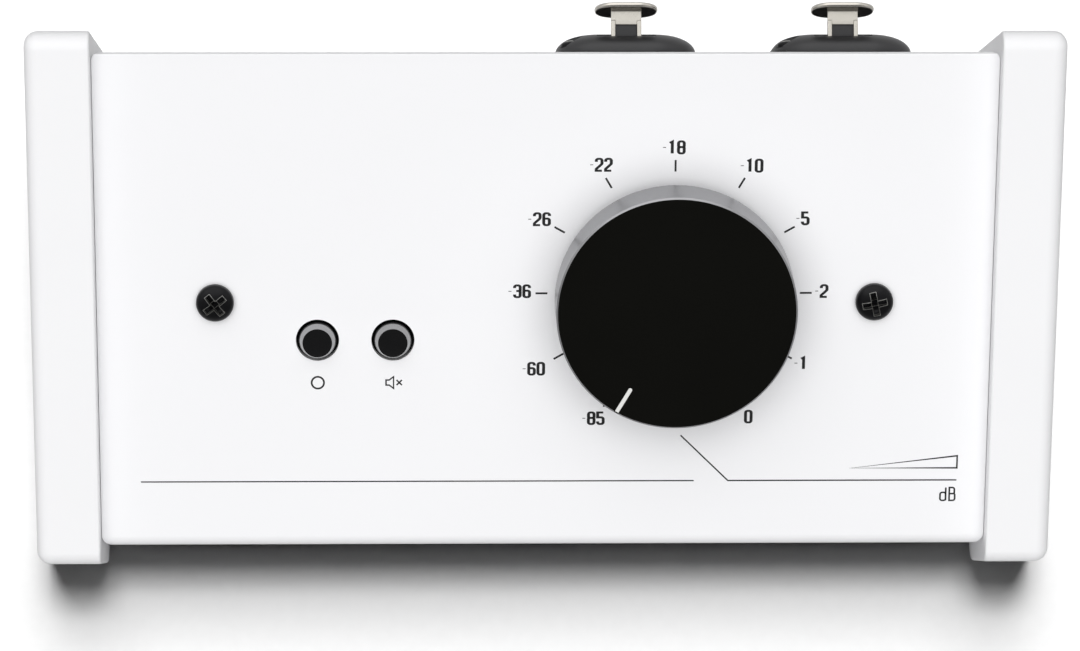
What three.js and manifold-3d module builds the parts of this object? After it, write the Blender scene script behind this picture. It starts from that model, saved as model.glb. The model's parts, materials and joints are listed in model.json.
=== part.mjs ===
// A desktop studio monitor controller: a sloped sheet-metal case held between two thick cheeks,
// with one large volume knob, two push buttons, and its connectors on the rear wall.
// Millimetres. +X is to the right as the user sees the panel, +Y goes to the rear, +Z is up.

import * as THREE from 'three';
import { mergeVertices } from 'three/addons/utils/BufferGeometryUtils.js';
import Module from 'manifold-3d';

const wasm = await Module();
wasm.setup();

// Driving sizes
const overallWidth = 190;
const cheekDepth = 97;
const cheekFrontHeight = 27;
const cheekThickness = 12;
const slopeDegrees = 20;
const reveal = 3.6;
const sheet = 1.5;
const bendRadius = 1;
const boardThickness = 1.6;

// Clearances
const seatGap = 0.3;
const threadGap = 0.2;
const inlayGap = 0.12;
const overrun = 2;

// Facets round a turned piece, and along a bend
const coarse = 12;
const medium = 24;
const fine = 32;
const finest = 64;
const bendSteps = 2;

const degrees = THREE.MathUtils.degToRad;
const slope = degrees(slopeDegrees);

// Foot pads sit in shallow pockets under the cheeks and stand a little proud of them.
const pad = { radius: 4.5, thickness: 1.5, pocketDepth: 1, fromEnd: 13 };
const padProud = pad.thickness + seatGap - pad.pocketDepth;

// The outline of the case between the cheeks
const caseFront = -cheekDepth / 2 + reveal;
const caseRear = cheekDepth / 2 - reveal;
const caseBottom = padProud + reveal;
const caseHalfWidth = overallWidth / 2 - cheekThickness - seatGap;
const floorTop = caseBottom + sheet;
const wallInside = caseRear - sheet;
const apronInside = caseFront + sheet;

function cheekTopAt(y) {
  return padProud + cheekFrontHeight + (y + cheekDepth / 2) * Math.tan(slope);
}

function panelTopAt(y) {
  return cheekTopAt(y) - reveal / Math.cos(slope);
}

function panelUnderAt(y) {
  return panelTopAt(y) - sheet / Math.cos(slope);
}

// Frames that carry the pieces: the panel's top face, and the rear wall's outer face
const panelFrame = new THREE.Group();
panelFrame.position.set(0, 0, panelTopAt(0));
panelFrame.rotation.set(slope, 0, 0);
panelFrame.updateMatrix();

const rearFrame = new THREE.Group();
rearFrame.position.set(0, caseRear, 0);
rearFrame.rotation.set(Math.PI / 2, Math.PI, 0);
rearFrame.updateMatrix();

const caseFrame = new THREE.Group();
caseFrame.add(panelFrame, rearFrame);

// Finishes: colour, roughness, metalness
function finish(color, roughness, metalness) {
  return () => new THREE.MeshStandardMaterial({ color, roughness, metalness });
}

const whiteLacquer = finish(0xf4f4f6, 0.4, 0);
const whitePowder = finish(0xf2f2f4, 0.55, 0);
const blackAnodised = finish(0x121210, 0.35, 0.6);
const blackPlastic = finish(0x1b1b1d, 0.5, 0);
const blackZinc = finish(0x1c1c1e, 0.4, 0.7);
const whiteInlay = finish(0xf5f5f5, 0.5, 0);
const nickel = finish(0xc9c5bd, 0.25, 1);
const steel = finish(0x9fa2a6, 0.35, 1);
const brass = finish(0xc2a35a, 0.35, 1);
const greenBoard = finish(0x1f5a3c, 0.5, 0);
const blackRubber = finish(0x18181a, 0.9, 0);
const greyRibbon = finish(0x9a9da1, 0.6, 0);

// Solids: a closed geometry becomes a solid that can be joined and cut
function solid(geometry) {
  const bare = geometry.clone();
  bare.deleteAttribute('normal');
  bare.deleteAttribute('uv');
  const merged = mergeVertices(bare);
  return new wasm.Manifold(new wasm.Mesh({
    numProp: 3,
    vertProperties: merged.attributes.position.array,
    triVerts: new Uint32Array(merged.index.array),
  }));
}

function geometryOf(body) {
  const mesh = body.getMesh();
  const geometry = new THREE.BufferGeometry();
  geometry.setAttribute('position', new THREE.BufferAttribute(mesh.vertProperties, 3));
  geometry.setIndex(new THREE.BufferAttribute(mesh.triVerts, 1));
  geometry.computeVertexNormals();
  return geometry;
}

function cut(body, tools) {
  return tools.reduce((left, tool) => left.subtract(tool), body);
}

function joined(bodies) {
  return bodies.reduce((whole, body) => whole.add(body));
}

function addPiece(frame, name, body, material) {
  const mesh = new THREE.Mesh(geometryOf(body), material());
  mesh.name = name;
  frame.add(mesh);
}

// Shapes that the pieces are made from. A turned profile is a list of [radius, height] pairs
// that runs from the axis at the bottom, outwards and up, back to the axis, or closes on itself.
function turned(profile, segments) {
  const points = profile.map(([radius, height]) => new THREE.Vector2(radius, height));
  return solid(new THREE.LatheGeometry(points, segments).rotateX(Math.PI / 2));
}

function rod(radius, bottom, top, segments) {
  return turned([[0, bottom], [radius, bottom], [radius, top], [0, top]], segments);
}

function tube(bore, radius, bottom, top, segments) {
  const profile = [[bore, bottom], [radius, bottom], [radius, top], [bore, top], [bore, bottom]];
  return turned(profile, segments);
}

function block([left, right], [front, rear], [bottom, top]) {
  const geometry = new THREE.BoxGeometry(right - left, rear - front, top - bottom);
  return solid(geometry.translate((left + right) / 2, (front + rear) / 2, (bottom + top) / 2));
}

function moved(body, x, y, z) {
  return body.translate([x, y, z]);
}

function inFrame(frame, body) {
  return body.transform(frame.matrix.elements);
}

// An outline whose corners are rounded where they have a radius
function outline(corners) {
  const shape = new THREE.Shape();
  corners.forEach(({ x, y, radius }, index) => {
    const here = new THREE.Vector2(x, y);
    const before = corners.at(index - 1);
    const after = corners[(index + 1) % corners.length];
    if (!radius) {
      if (index === 0) shape.moveTo(x, y);
      else shape.lineTo(x, y);
      return;
    }
    const back = new THREE.Vector2(before.x, before.y).sub(here).normalize();
    const ahead = new THREE.Vector2(after.x, after.y).sub(here).normalize();
    const halfAngle = Math.acos(back.dot(ahead)) / 2;
    const reach = radius / Math.tan(halfAngle);
    const inward = back.clone().add(ahead).normalize();
    const centre = here.clone().addScaledVector(inward, radius / Math.sin(halfAngle));
    const start = here.clone().addScaledVector(back, reach).sub(centre).angle();
    const end = here.clone().addScaledVector(ahead, reach).sub(centre).angle();
    const clockwise = back.cross(ahead) > 0;
    if (index > 0) {
      shape.lineTo(centre.x + radius * Math.cos(start), centre.y + radius * Math.sin(start));
    }
    shape.absarc(centre.x, centre.y, radius, start, end, clockwise);
  });
  shape.closePath();
  return shape;
}

function roundedRectangle(width, height, radius) {
  const corner = (x, y) => ({ x: x * width / 2, y: y * height / 2, radius });
  return outline([corner(-1, -1), corner(1, -1), corner(1, 1), corner(-1, 1)]);
}

// A prism on an outline in X and Y, with its edges rounded by bevel
function prism(shape, bottom, top, bevel = 0) {
  const geometry = new THREE.ExtrudeGeometry(shape, {
    depth: top - bottom - 2 * bevel,
    curveSegments: bendSteps,
    bevelEnabled: bevel > 0,
    bevelThickness: bevel,
    bevelSize: bevel,
    bevelOffset: -bevel,
    bevelSegments: bendSteps,
  });
  return solid(geometry.translate(0, 0, bottom + bevel));
}

// The same for an outline in Y and Z that runs across the case from left to right
function acrossCase(shape, left, right, bevel = 0) {
  const turn = new THREE.Matrix4().makeBasis(
    new THREE.Vector3(0, 1, 0),
    new THREE.Vector3(0, 0, 1),
    new THREE.Vector3(1, 0, 0),
  );
  return prism(shape, left, right, bevel).transform(turn.elements);
}

// A sheet strip, bent where its outer line has corners, with the sheet to the right of the line
function bentStrip(line, thickness, insideRadius) {
  const points = line.map(([x, y]) => new THREE.Vector2(x, y));
  const headings = points.slice(1).map((point, index) => point.clone().sub(points[index]).normalize());
  const rightOf = (heading) => new THREE.Vector2(heading.y, -heading.x);
  const inner = points.map((point, index) => {
    const first = rightOf(headings[Math.max(index - 1, 0)]);
    const second = rightOf(headings[Math.min(index, headings.length - 1)]);
    const middle = first.clone().add(second).normalize();
    return point.clone().addScaledVector(middle, thickness / middle.dot(first));
  });
  const bendAt = (index, corner) => {
    if (index === 0 || index === points.length - 1) return 0;
    const turnsRight = headings[index - 1].cross(headings[index]) < 0;
    const outside = turnsRight === (corner === 'line');
    return outside ? insideRadius + thickness : insideRadius;
  };
  const along = points.map(({ x, y }, index) => ({ x, y, radius: bendAt(index, 'line') }));
  const back = inner.map(({ x, y }, index) => ({ x, y, radius: bendAt(index, 'inner') }));
  return outline([...along, ...back.reverse()]);
}

// Screws stand on Z = 0 with their shank downwards.
const recess = { widthShare: 0.16, spanShare: 0.62, depthShare: 0.55 };

function crossRecess(headRadius, headHeight) {
  const width = headRadius * recess.widthShare;
  const span = headRadius * recess.spanShare;
  const depth = headHeight * recess.depthShare;
  const height = [headHeight - depth, headHeight + overrun];
  return block([-width, width], [-span, span], height).add(block([-span, span], [-width, width], height));
}

const panHead = { rimShare: 0.35, steps: 2 };

function panScrew({ headRadius, headHeight, shankRadius, length }) {
  const rim = headHeight * panHead.rimShare;
  const dome = Array.from({ length: panHead.steps + 1 }, (_, step) => {
    const angle = step / panHead.steps * Math.PI / 2;
    return [headRadius * Math.cos(angle), rim + (headHeight - rim) * Math.sin(angle)];
  });
  dome[panHead.steps][0] = 0;
  const profile = [[0, -length], [shankRadius, -length], [shankRadius, 0], [headRadius, 0], ...dome];
  return turned(profile, coarse).subtract(crossRecess(headRadius, headHeight));
}

function flatScrew({ headRadius, headHeight, shankRadius, length }) {
  const profile = [
    [0, -length],
    [shankRadius, -length],
    [shankRadius, -headHeight],
    [headRadius, 0],
    [0, 0],
  ];
  const screw = turned(profile, coarse);
  return screw.subtract(moved(crossRecess(headRadius, headHeight), 0, 0, -headHeight));
}

// Screws used in the case
const panelScrew = { headRadius: 3.5, headHeight: 2.4, shankRadius: 1.75, length: 7 };
const boardScrew = { headRadius: 2.8, headHeight: 2, shankRadius: 1.5, length: 4.5 };
const baseScrew = { headRadius: 2.8, headHeight: 2, shankRadius: 1.5, length: 4 };
const rearScrew = { headRadius: 2.6, headHeight: 1.1, shankRadius: 1.4, length: 4.5 };
const cheekScrew = { headRadius: 3.4, headHeight: 2.2, shankRadius: 1.8, length: 10 };
const flangeScrew = { headRadius: 2.1, headHeight: 1.5, shankRadius: 1.2, length: 7 };

// Places across the case, as shares of its half width
const panelScrewShare = 0.738;
const knobShare = 0.288;
const monoShare = -0.51;
const muteShare = -0.341;
const ribbonShare = -0.508;
const leftComboShare = 0.181;
const rightComboShare = 0.665;
const leftJackShare = -0.629;
const rightJackShare = -0.3265;
const auxShare = -0.8585;

const panelScrewX = panelScrewShare * caseHalfWidth;
const comboPlaces = [
  { name: 'left', x: leftComboShare * caseHalfWidth },
  { name: 'right', x: rightComboShare * caseHalfWidth },
];
const jackPlaces = [
  { name: 'left', x: leftJackShare * caseHalfWidth },
  { name: 'right', x: rightJackShare * caseHalfWidth },
];
const auxX = auxShare * caseHalfWidth;

// Combination connector: each ring of the housing is built out from the insert's radius.
const insert = { radius: 7.4, recess: 1, bore: 3.3 };
const socket = { count: 3, radius: 1.4, ring: 5.4, depth: 8 };
const comboBody = { ringGap: 2.05, wall: 2.35, tailStep: 2.4, depth: 12, tailDepth: 12, cavityDepth: 14.5 };
const cavityRadius = insert.radius + comboBody.ringGap;
const barrelRadius = cavityRadius + comboBody.wall;
const tailRadius = barrelRadius - comboBody.tailStep;
const comboFlange = { sideMargin: 1.2, endMargin: 3.7, thickness: 4, radius: 8.5, edge: 0.7 };
const flangeWidth = 2 * (barrelRadius + comboFlange.sideMargin);
const flangeHeight = 2 * (barrelRadius + comboFlange.endMargin);
const comboTailEnd = caseRear - comboBody.depth - comboBody.tailDepth;

// Boards: the panel board hangs under the panel, the main board stands on the tray's floor. The
// attenuator sits as far up the slope as the connectors' tails behind it allow.
const switchBody = { width: 8.5, height: 7 };
const attenuator = { radius: 12, height: 10.4, boreDepth: 9, tailClearance: 4 };
const bodyTop = -sheet - seatGap;
const bodyBottom = bodyTop - attenuator.height;
const attenuatorRearUp = (comboTailEnd - attenuator.tailClearance + bodyBottom * Math.sin(slope))
  / Math.cos(slope);
const knobPlace = { x: knobShare * caseHalfWidth, up: attenuatorRearUp - attenuator.radius };
const buttonDrop = 7.5;
const buttonPlaces = [
  { name: 'mono', x: monoShare * caseHalfWidth, up: -buttonDrop },
  { name: 'mute', x: muteShare * caseHalfWidth, up: -buttonDrop },
];

const panelBoard = { overhang: 5, frontMargin: 4.2, rearMargin: 0.2 };
const panelBoardTop = bodyBottom - seatGap;
const panelBoardUnder = panelBoardTop - boardThickness;

const header = { width: 22, depth: 5, height: 3.5, up: 1.5 };
const ribbon = { width: 18, thickness: 0.9, radius: 2.5, x: ribbonShare * caseHalfWidth };

const spacerRadius = 3.6;
const standoff = { radius: 3, height: 6 };
const mainBoard = { frontY: 1, rearSpace: 1.2, sideSpace: 6, screwInset: 4.5 };
const mainBoardUnder = floorTop + standoff.height + seatGap;
const mainBoardTop = mainBoardUnder + boardThickness;

// Cheeks: a bevelled slab on the wedge's side outline, cut flat on its inner face
const cheek = { footRadius: 5, edgeRadius: 1.8, cornerExtra: 0.4, pilotExtra: 1.5 };
const cheekScrewPlaces = [
  { name: 'front', depthShare: -0.25, heightShare: 0.4 },
  { name: 'rear', depthShare: 0.25, heightShare: 0.55 },
].map(({ name, depthShare, heightShare }) => {
  const y = depthShare * cheekDepth;
  return { name, y, z: padProud + heightShare * (cheekTopAt(y) - padProud) };
});

function cheekOutline() {
  const radius = cheek.edgeRadius + cheek.cornerExtra;
  const front = -cheekDepth / 2;
  const rear = cheekDepth / 2;
  return outline([
    { x: front, y: padProud, radius: cheek.footRadius },
    { x: rear, y: padProud, radius },
    { x: rear, y: cheekTopAt(rear), radius },
    { x: front, y: cheekTopAt(front), radius },
  ]);
}

const padPlaces = [
  { name: 'front', y: -cheekDepth / 2 + pad.fromEnd },
  { name: 'rear', y: cheekDepth / 2 - pad.fromEnd },
];

function makeCheek(name, side) {
  const inner = overallWidth / 2 - cheekThickness;
  const blank = acrossCase(cheekOutline(), -cheekThickness, cheekThickness, cheek.edgeRadius);
  const half = block([0, cheekThickness + overrun], [-cheekDepth, cheekDepth], [-overrun, cheekDepth]);
  const slab = moved(blank.intersect(half), inner, 0, 0);
  const padX = inner + cheekThickness / 2;
  const pockets = padPlaces.map(({ y }) => moved(
    rod(pad.radius + seatGap, -overrun, pad.pocketDepth, medium), padX, y, padProud));
  const pilotDepth = cheekScrew.length - sheet - seatGap + cheek.pilotExtra;
  const pilots = cheekScrewPlaces.map(({ y, z }) => moved(
    rod(cheekScrew.shankRadius + threadGap, -overrun, pilotDepth, coarse).rotate([0, 90, 0]),
    inner, y, z));
  const right = cut(slab, [...pockets, ...pilots]);
  addPiece(caseFrame, name, side > 0 ? right : right.mirror([1, 0, 0]), whiteLacquer);
}

function makeFootPads(sideName, side) {
  const x = side * (overallWidth / 2 - cheekThickness / 2);
  for (const { name, y } of padPlaces) {
    const disc = moved(rod(pad.radius, 0, pad.thickness, medium), x, y, 0);
    addPiece(caseFrame, `foot_pad_${name}_${sideName}`, disc, blackRubber);
  }
}

// The case's plan, with its four corners rounded, trims the sheet pieces.
const caseCornerRadius = 1.8;

function casePlan() {
  const plan = roundedRectangle(2 * caseHalfWidth, caseRear - caseFront, caseCornerRadius);
  return moved(prism(plan, -overrun, cheekDepth), 0, (caseFront + caseRear) / 2, 0);
}

// Control panel: one bent sheet with a return flange, an apron and the sloped face
const flange = { depth: 10, endGap: 0.5 };
const flangeBottom = floorTop + seatGap;
const button = { radius: 3.45, holeGap: 0.55, bevel: 0.8, proud: 1.8, wellDepth: 2.6, dish: 0.15, stop: 0.4 };
const buttonTravel = 1.5;
const bushing = { radius: 4.5, top: 5 };
const baseScrewFromEnd = 20;

const sides = [
  { name: 'left', side: -1 },
  { name: 'right', side: 1 },
];

function baseScrewPlaces() {
  const y = apronInside + flange.depth / 2;
  return sides.map(({ name, side }) => ({ name, x: side * (caseHalfWidth - baseScrewFromEnd), y }));
}

function makeControlPanel() {
  const rearEdge = caseRear - sheet * Math.sin(slope);
  const line = [
    [caseFront + flange.depth, flangeBottom],
    [caseFront, flangeBottom],
    [caseFront, panelTopAt(caseFront)],
    [rearEdge, panelTopAt(rearEdge)],
  ];
  const strip = acrossCase(bentStrip(line, sheet, bendRadius), -caseHalfWidth, caseHalfWidth);
  const panelHole = (radius, x, up) => inFrame(panelFrame, moved(
    rod(radius, -sheet - overrun, overrun, medium), x, up, 0));
  const holes = [
    panelHole(bushing.radius + threadGap, knobPlace.x, knobPlace.up),
    ...buttonPlaces.map(({ x, up }) => panelHole(button.radius + button.holeGap, x, up)),
    ...[-1, 1].map((side) => panelHole(panelScrew.shankRadius + threadGap, side * panelScrewX, 0)),
    ...baseScrewPlaces().map(({ x, y }) => moved(
      rod(baseScrew.shankRadius + threadGap, -overrun, sheet + overrun, coarse), x, y, flangeBottom)),
  ];
  const flangeEnd = caseHalfWidth - sheet - flange.endGap;
  const notches = [-1, 1].map((side) => block(
    [side * flangeEnd, side * (caseHalfWidth + overrun)].sort((a, b) => a - b),
    [apronInside, caseFront + flange.depth + overrun],
    [caseBottom, flangeBottom + sheet + bendRadius]));
  addPiece(caseFrame, 'control_panel', cut(strip, [...holes, ...notches]).intersect(casePlan()),
    whitePowder);
}

// Base tray: floor, rear wall and side walls in one folded sheet, open to the front and top
const rearScrewDrop = 3.4;
const rearScrewFromEnd = 6.5;
const bracket = { drop: 6.2, reach: 9, endSpace: 3, comboSpace: 2.4 };
const comboHoleRadius = barrelRadius + threadGap;
const comboAxisZ = panelUnderAt(caseRear) - bracket.drop - bracket.comboSpace - barrelRadius;
const flangeScrewWeb = 0.74;
const flangeScrewHole = flangeScrew.shankRadius + threadGap;
const flangeScrewOffset = (comboHoleRadius + flangeScrewHole + flangeScrewWeb) * Math.SQRT1_2;
const jack = { width: 16, height: 16, depth: 21, noseRadius: 4.6, nose: 4.4, bore: 3.3, boreDepth: 24 };
const aux = { width: 9, height: 8.5, depth: 11, noseRadius: 2.9, nose: 3, bore: 1.8, boreDepth: 12 };
const jackZ = mainBoardTop + seatGap + jack.height / 2;
const auxZ = mainBoardTop + seatGap + aux.height / 2;

function mainBoardOutline() {
  const halfWidth = caseHalfWidth - sheet - mainBoard.sideSpace;
  return { halfWidth, front: mainBoard.frontY, rear: wallInside - mainBoard.rearSpace };
}

function mainBoardScrewPlaces() {
  const { halfWidth, front } = mainBoardOutline();
  const inset = mainBoard.screwInset;
  return sides.map(({ name, side }) => ({ name, x: side * (halfWidth - inset), y: front + inset }));
}

function rearHole(radius, x, z) {
  return inFrame(rearFrame, moved(rod(radius, -sheet - overrun, overrun, medium), -x, z, 0));
}

function makeBaseTray() {
  const wallFront = apronInside + seatGap;
  const underTop = (y) => panelUnderAt(y) - seatGap / Math.cos(slope);
  const side = outline([
    { x: caseFront, y: caseBottom },
    { x: caseRear, y: caseBottom, radius: bendRadius + sheet },
    { x: caseRear, y: underTop(caseRear) },
    { x: wallFront, y: underTop(wallFront) },
    { x: wallFront, y: floorTop },
    { x: caseFront, y: floorTop },
  ]);
  const inside = outline([
    { x: caseFront - overrun, y: floorTop },
    { x: wallInside, y: floorTop, radius: bendRadius },
    { x: wallInside, y: panelTopAt(caseRear) + overrun },
    { x: caseFront - overrun, y: panelTopAt(caseRear) + overrun },
  ]);
  const innerHalf = caseHalfWidth - sheet;
  const shell = acrossCase(side, -caseHalfWidth, caseHalfWidth)
    .subtract(acrossCase(inside, -innerHalf, innerHalf));
  const posts = mainBoardScrewPlaces().map(({ x, y }) => moved(
    tube(boardScrew.shankRadius + threadGap, standoff.radius, -sheet / 2, standoff.height, coarse),
    x, y, floorTop));
  const wallCuts = [
    ...comboPlaces.flatMap(({ x }) => [
      rearHole(comboHoleRadius, x, comboAxisZ),
      rearHole(flangeScrewHole, x - flangeScrewOffset, comboAxisZ + flangeScrewOffset),
      rearHole(flangeScrewHole, x + flangeScrewOffset, comboAxisZ - flangeScrewOffset),
    ]),
    ...jackPlaces.map(({ x }) => rearHole(jack.noseRadius + threadGap, x, jackZ)),
    rearHole(aux.noseRadius + threadGap, auxX, auxZ),
    ...rearScrewPlaces().map(({ x, z }) => inFrame(rearFrame, moved(countersink(), -x, z, 0))),
  ];
  const floorCuts = baseScrewPlaces().map(({ x, y }) => moved(
    rod(baseScrew.shankRadius + threadGap, -sheet - overrun, overrun, coarse), x, y, floorTop));
  const sideCuts = cheekScrewPlaces.map(({ y, z }) => moved(
    rod(cheekScrew.shankRadius + threadGap, -overallWidth, overallWidth, coarse).rotate([0, 90, 0]),
    0, y, z));
  const tray = cut(joined([shell, ...posts]), [...wallCuts, ...floorCuts, ...sideCuts])
    .intersect(casePlan());
  addPiece(caseFrame, 'base_tray', tray, whitePowder);
}

function rearScrewPlaces() {
  const z = panelUnderAt(caseRear) - rearScrewDrop;
  return sides.map(({ name, side }) => ({ name, x: side * (caseHalfWidth - rearScrewFromEnd), z }));
}

function countersink() {
  const { headRadius, headHeight, shankRadius } = rearScrew;
  return turned([
    [0, -sheet - overrun],
    [shankRadius + threadGap, -sheet - overrun],
    [shankRadius + threadGap, -headHeight],
    [headRadius + threadGap, 0],
    [headRadius + threadGap, overrun],
    [0, overrun],
  ], coarse);
}

// Rear bracket: an L strip under the panel's rear edge, which the rear screws pull on
function makeRearBracket() {
  const face = wallInside - seatGap;
  const topAt = (y) => panelUnderAt(y) - seatGap / Math.cos(slope);
  const front = face - bracket.reach;
  const line = [
    [front, topAt(front)],
    [face, topAt(face)],
    [face, topAt(face) - bracket.drop],
  ];
  const halfWidth = caseHalfWidth - sheet - bracket.endSpace;
  const strip = acrossCase(bentStrip(line, sheet, bendRadius), -halfWidth, halfWidth);
  const holes = rearScrewPlaces().map(({ x, z }) => rearHole(
    rearScrew.shankRadius + threadGap, x, z).translate([0, -sheet - seatGap, 0]));
  addPiece(caseFrame, 'rear_bracket', cut(strip, holes), steel);
}

// Screws of the case
function makeCaseScrews() {
  for (const { name, x, y } of baseScrewPlaces()) {
    const screw = moved(panScrew(baseScrew).rotate([180, 0, 0]), x, y, caseBottom - seatGap);
    addPiece(caseFrame, `base_screw_${name}`, screw, blackZinc);
  }
  for (const { name, x, z } of rearScrewPlaces()) {
    addPiece(rearFrame, `rear_screw_${name}`, moved(flatScrew(rearScrew), -x, z, 0), blackZinc);
  }
  const headSeat = caseHalfWidth - sheet - seatGap;
  for (const { name: sideName, side } of sides) {
    for (const { name, y, z } of cheekScrewPlaces) {
      const screw = panScrew(cheekScrew).rotate([0, -side * 90, 0]);
      addPiece(caseFrame, `cheek_screw_${name}_${sideName}`,
        moved(screw, side * headSeat, y, z), steel);
    }
  }
}

// Panel board with its spacers and screws
function boardPin(side, body) {
  return moved(body, side * panelScrewX, 0, 0);
}

function makePanelBoard() {
  const halfWidth = panelScrewX + panelBoard.overhang;
  const front = -buttonDrop - switchBody.width / 2 - panelBoard.frontMargin;
  const board = block([-halfWidth, halfWidth], [front, attenuatorRearUp + panelBoard.rearMargin],
    [panelBoardUnder, panelBoardTop]);
  const hole = boardScrew.shankRadius + threadGap;
  const holes = [-1, 1].map((side) => boardPin(side,
    rod(hole, panelBoardUnder - overrun, panelBoardTop + overrun, coarse)));
  addPiece(panelFrame, 'panel_board', cut(board, holes).add(panelHeader()), greenBoard);

  const spacerFoot = panelBoardTop + seatGap;
  const bore = panelScrew.shankRadius + threadGap;
  for (const { name, side } of sides) {
    addPiece(panelFrame, `board_spacer_${name}`,
      boardPin(side, tube(bore, spacerRadius, spacerFoot, bodyTop, coarse)), steel);
    const under = moved(panScrew(boardScrew).rotate([180, 0, 0]), 0, 0, panelBoardUnder - seatGap);
    addPiece(panelFrame, `panel_board_screw_${name}`, boardPin(side, under), steel);
    addPiece(panelFrame, `panel_screw_${name}`,
      boardPin(side, moved(panScrew(panelScrew), 0, 0, seatGap)), blackZinc);
  }
}

// Main board on the tray's two standoffs, held at the rear by the jacks that are soldered to it
function makeMainBoard() {
  const { halfWidth, front, rear } = mainBoardOutline();
  const places = mainBoardScrewPlaces();
  const hole = boardScrew.shankRadius + threadGap;
  const board = block([-halfWidth, halfWidth], [front, rear], [mainBoardUnder, mainBoardTop]);
  const holes = places.map(({ x, y }) => moved(
    rod(hole, -overrun, boardThickness + overrun, coarse), x, y, mainBoardUnder));
  addPiece(caseFrame, 'main_board', cut(board, holes).add(mainHeader()), greenBoard);
  for (const { name, x, y } of places) {
    addPiece(caseFrame, `main_board_screw_${name}`,
      moved(panScrew(boardScrew), x, y, mainBoardTop + seatGap), steel);
  }
}

// Attenuator: body under the panel with its threaded bushing, washer and nut, and the turning shaft
const nut = { radius: 7, height: 2.4, sides: 6 };
const washer = { radius: 7.5, thickness: 0.6 };
const shaft = { radius: 3, flatShare: 0.75, tipGap: 0.5 };

function makeAttenuator() {
  const atKnob = (body) => moved(body, knobPlace.x, knobPlace.up, 0);
  const floor = bodyTop - attenuator.boreDepth;
  const boreRadius = shaft.radius + seatGap;
  const body = rod(attenuator.radius, bodyBottom, bodyTop, medium)
    .add(rod(bushing.radius, bodyTop - overrun, bushing.top, coarse))
    .subtract(rod(boreRadius, floor, bushing.top + overrun, coarse));
  addPiece(panelFrame, 'attenuator_body', atKnob(body), steel);

  const hole = bushing.radius + threadGap;
  const ring = tube(hole, washer.radius, seatGap, seatGap + washer.thickness, coarse);
  addPiece(panelFrame, 'attenuator_washer', atKnob(ring), steel);

  const nutBottom = 2 * seatGap + washer.thickness;
  const hex = rod(nut.radius, nutBottom, nutBottom + nut.height, nut.sides)
    .subtract(rod(hole, nutBottom - overrun, nutBottom + nut.height + overrun, coarse));
  addPiece(panelFrame, 'attenuator_nut', atKnob(hex), nickel);
}

// Knob: a turned cap with a ring-shaped hollow round a hub, a brass insert in the hub, a grub
// screw on the side that faces the user at rest, and a white line let into the top.
const knob = {
  topRadius: 21.75,
  wideRadius: 22.2,
  footRadius: 20.6,
  foot: 2.5,
  wideFrom: 4.7,
  top: 13,
  edge: 0.35,
  wall: 3.4,
  roof: 3,
  hubRadius: 9,
  insertRadius: 5.2,
};
const pointer = { width: 0.75, length: 5.1, depth: 0.35, endShare: 0.995 };
const grub = { radius: 1.5, length: 4.6, height: 7.6 };
const restDegrees = 30;
const nutTop = 2 * seatGap + washer.thickness + nut.height;

// The pointer and the grub screw leave the knob's axis this way at rest.
function knobTurned(body) {
  return moved(body.rotate([0, 0, -restDegrees]), knobPlace.x, knobPlace.up, 0);
}

function makeKnob() {
  const roofUnder = knob.top - knob.roof;
  const hubFoot = nutTop + seatGap;
  const insertBore = knob.insertRadius + threadGap;
  const insertTop = knob.top - knob.roof / 2;
  const cap = turned([
    [0, insertTop],
    [insertBore, insertTop],
    [insertBore, hubFoot],
    [knob.hubRadius, hubFoot],
    [knob.hubRadius, roofUnder],
    [knob.footRadius - knob.wall, roofUnder],
    [knob.footRadius - knob.wall, knob.foot],
    [knob.footRadius, knob.foot],
    [knob.wideRadius, knob.wideFrom],
    [knob.topRadius, knob.top - knob.edge],
    [knob.topRadius - knob.edge, knob.top],
    [0, knob.top],
  ], finest);
  const tip = -knob.topRadius * pointer.endShare;
  const half = pointer.width / 2;
  const groove = block([-half - inlayGap, half + inlayGap],
    [tip - overrun, tip + pointer.length + inlayGap],
    [knob.top - pointer.depth - inlayGap, knob.top + overrun]);
  const grubHole = (radius, from, to) => moved(
    rod(radius, from, to, coarse).rotate([90, 0, 0]), 0, 0, grub.height);
  const clearHole = grubHole(grub.radius + threadGap, 0, knob.wideRadius + overrun);
  addPiece(panelFrame, 'knob_cap', knobTurned(cut(cap, [groove, clearHole])), blackAnodised);

  const line = block([-half, half], [tip + knob.edge, tip + pointer.length],
    [knob.top - pointer.depth, knob.top]);
  addPiece(panelFrame, 'knob_pointer', knobTurned(line), whiteInlay);

  const shaftTop = insertTop - seatGap - shaft.tipGap;
  const insertFoot = bushing.top + seatGap;
  const flatAt = shaft.radius * shaft.flatShare;
  const hub = rod(knob.insertRadius, insertFoot, insertTop - seatGap, medium)
    .subtract(rod(shaft.radius + threadGap, insertFoot - overrun, shaftTop + shaft.tipGap / 2, coarse))
    .subtract(clearHole);
  addPiece(panelFrame, 'knob_insert', knobTurned(hub), brass);

  const start = flatAt + threadGap;
  addPiece(panelFrame, 'knob_grub_screw', knobTurned(grubHole(grub.radius, start, start + grub.length)),
    steel);

  const shaftBottom = bodyTop - attenuator.boreDepth + seatGap;
  const flat = block([-overrun - shaft.radius, shaft.radius + overrun],
    [-shaft.radius - overrun, -flatAt], [insertFoot, shaftTop + overrun]);
  const spindle = rod(shaft.radius, shaftBottom, shaftTop, coarse).subtract(flat);
  addPiece(panelFrame, 'attenuator_shaft', knobTurned(spindle), steel);
}

// Push buttons: switch body on the board, square plunger, round cap with a bevelled rim
const plunger = { width: 2.8, restDepth: 4.6 };

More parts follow.
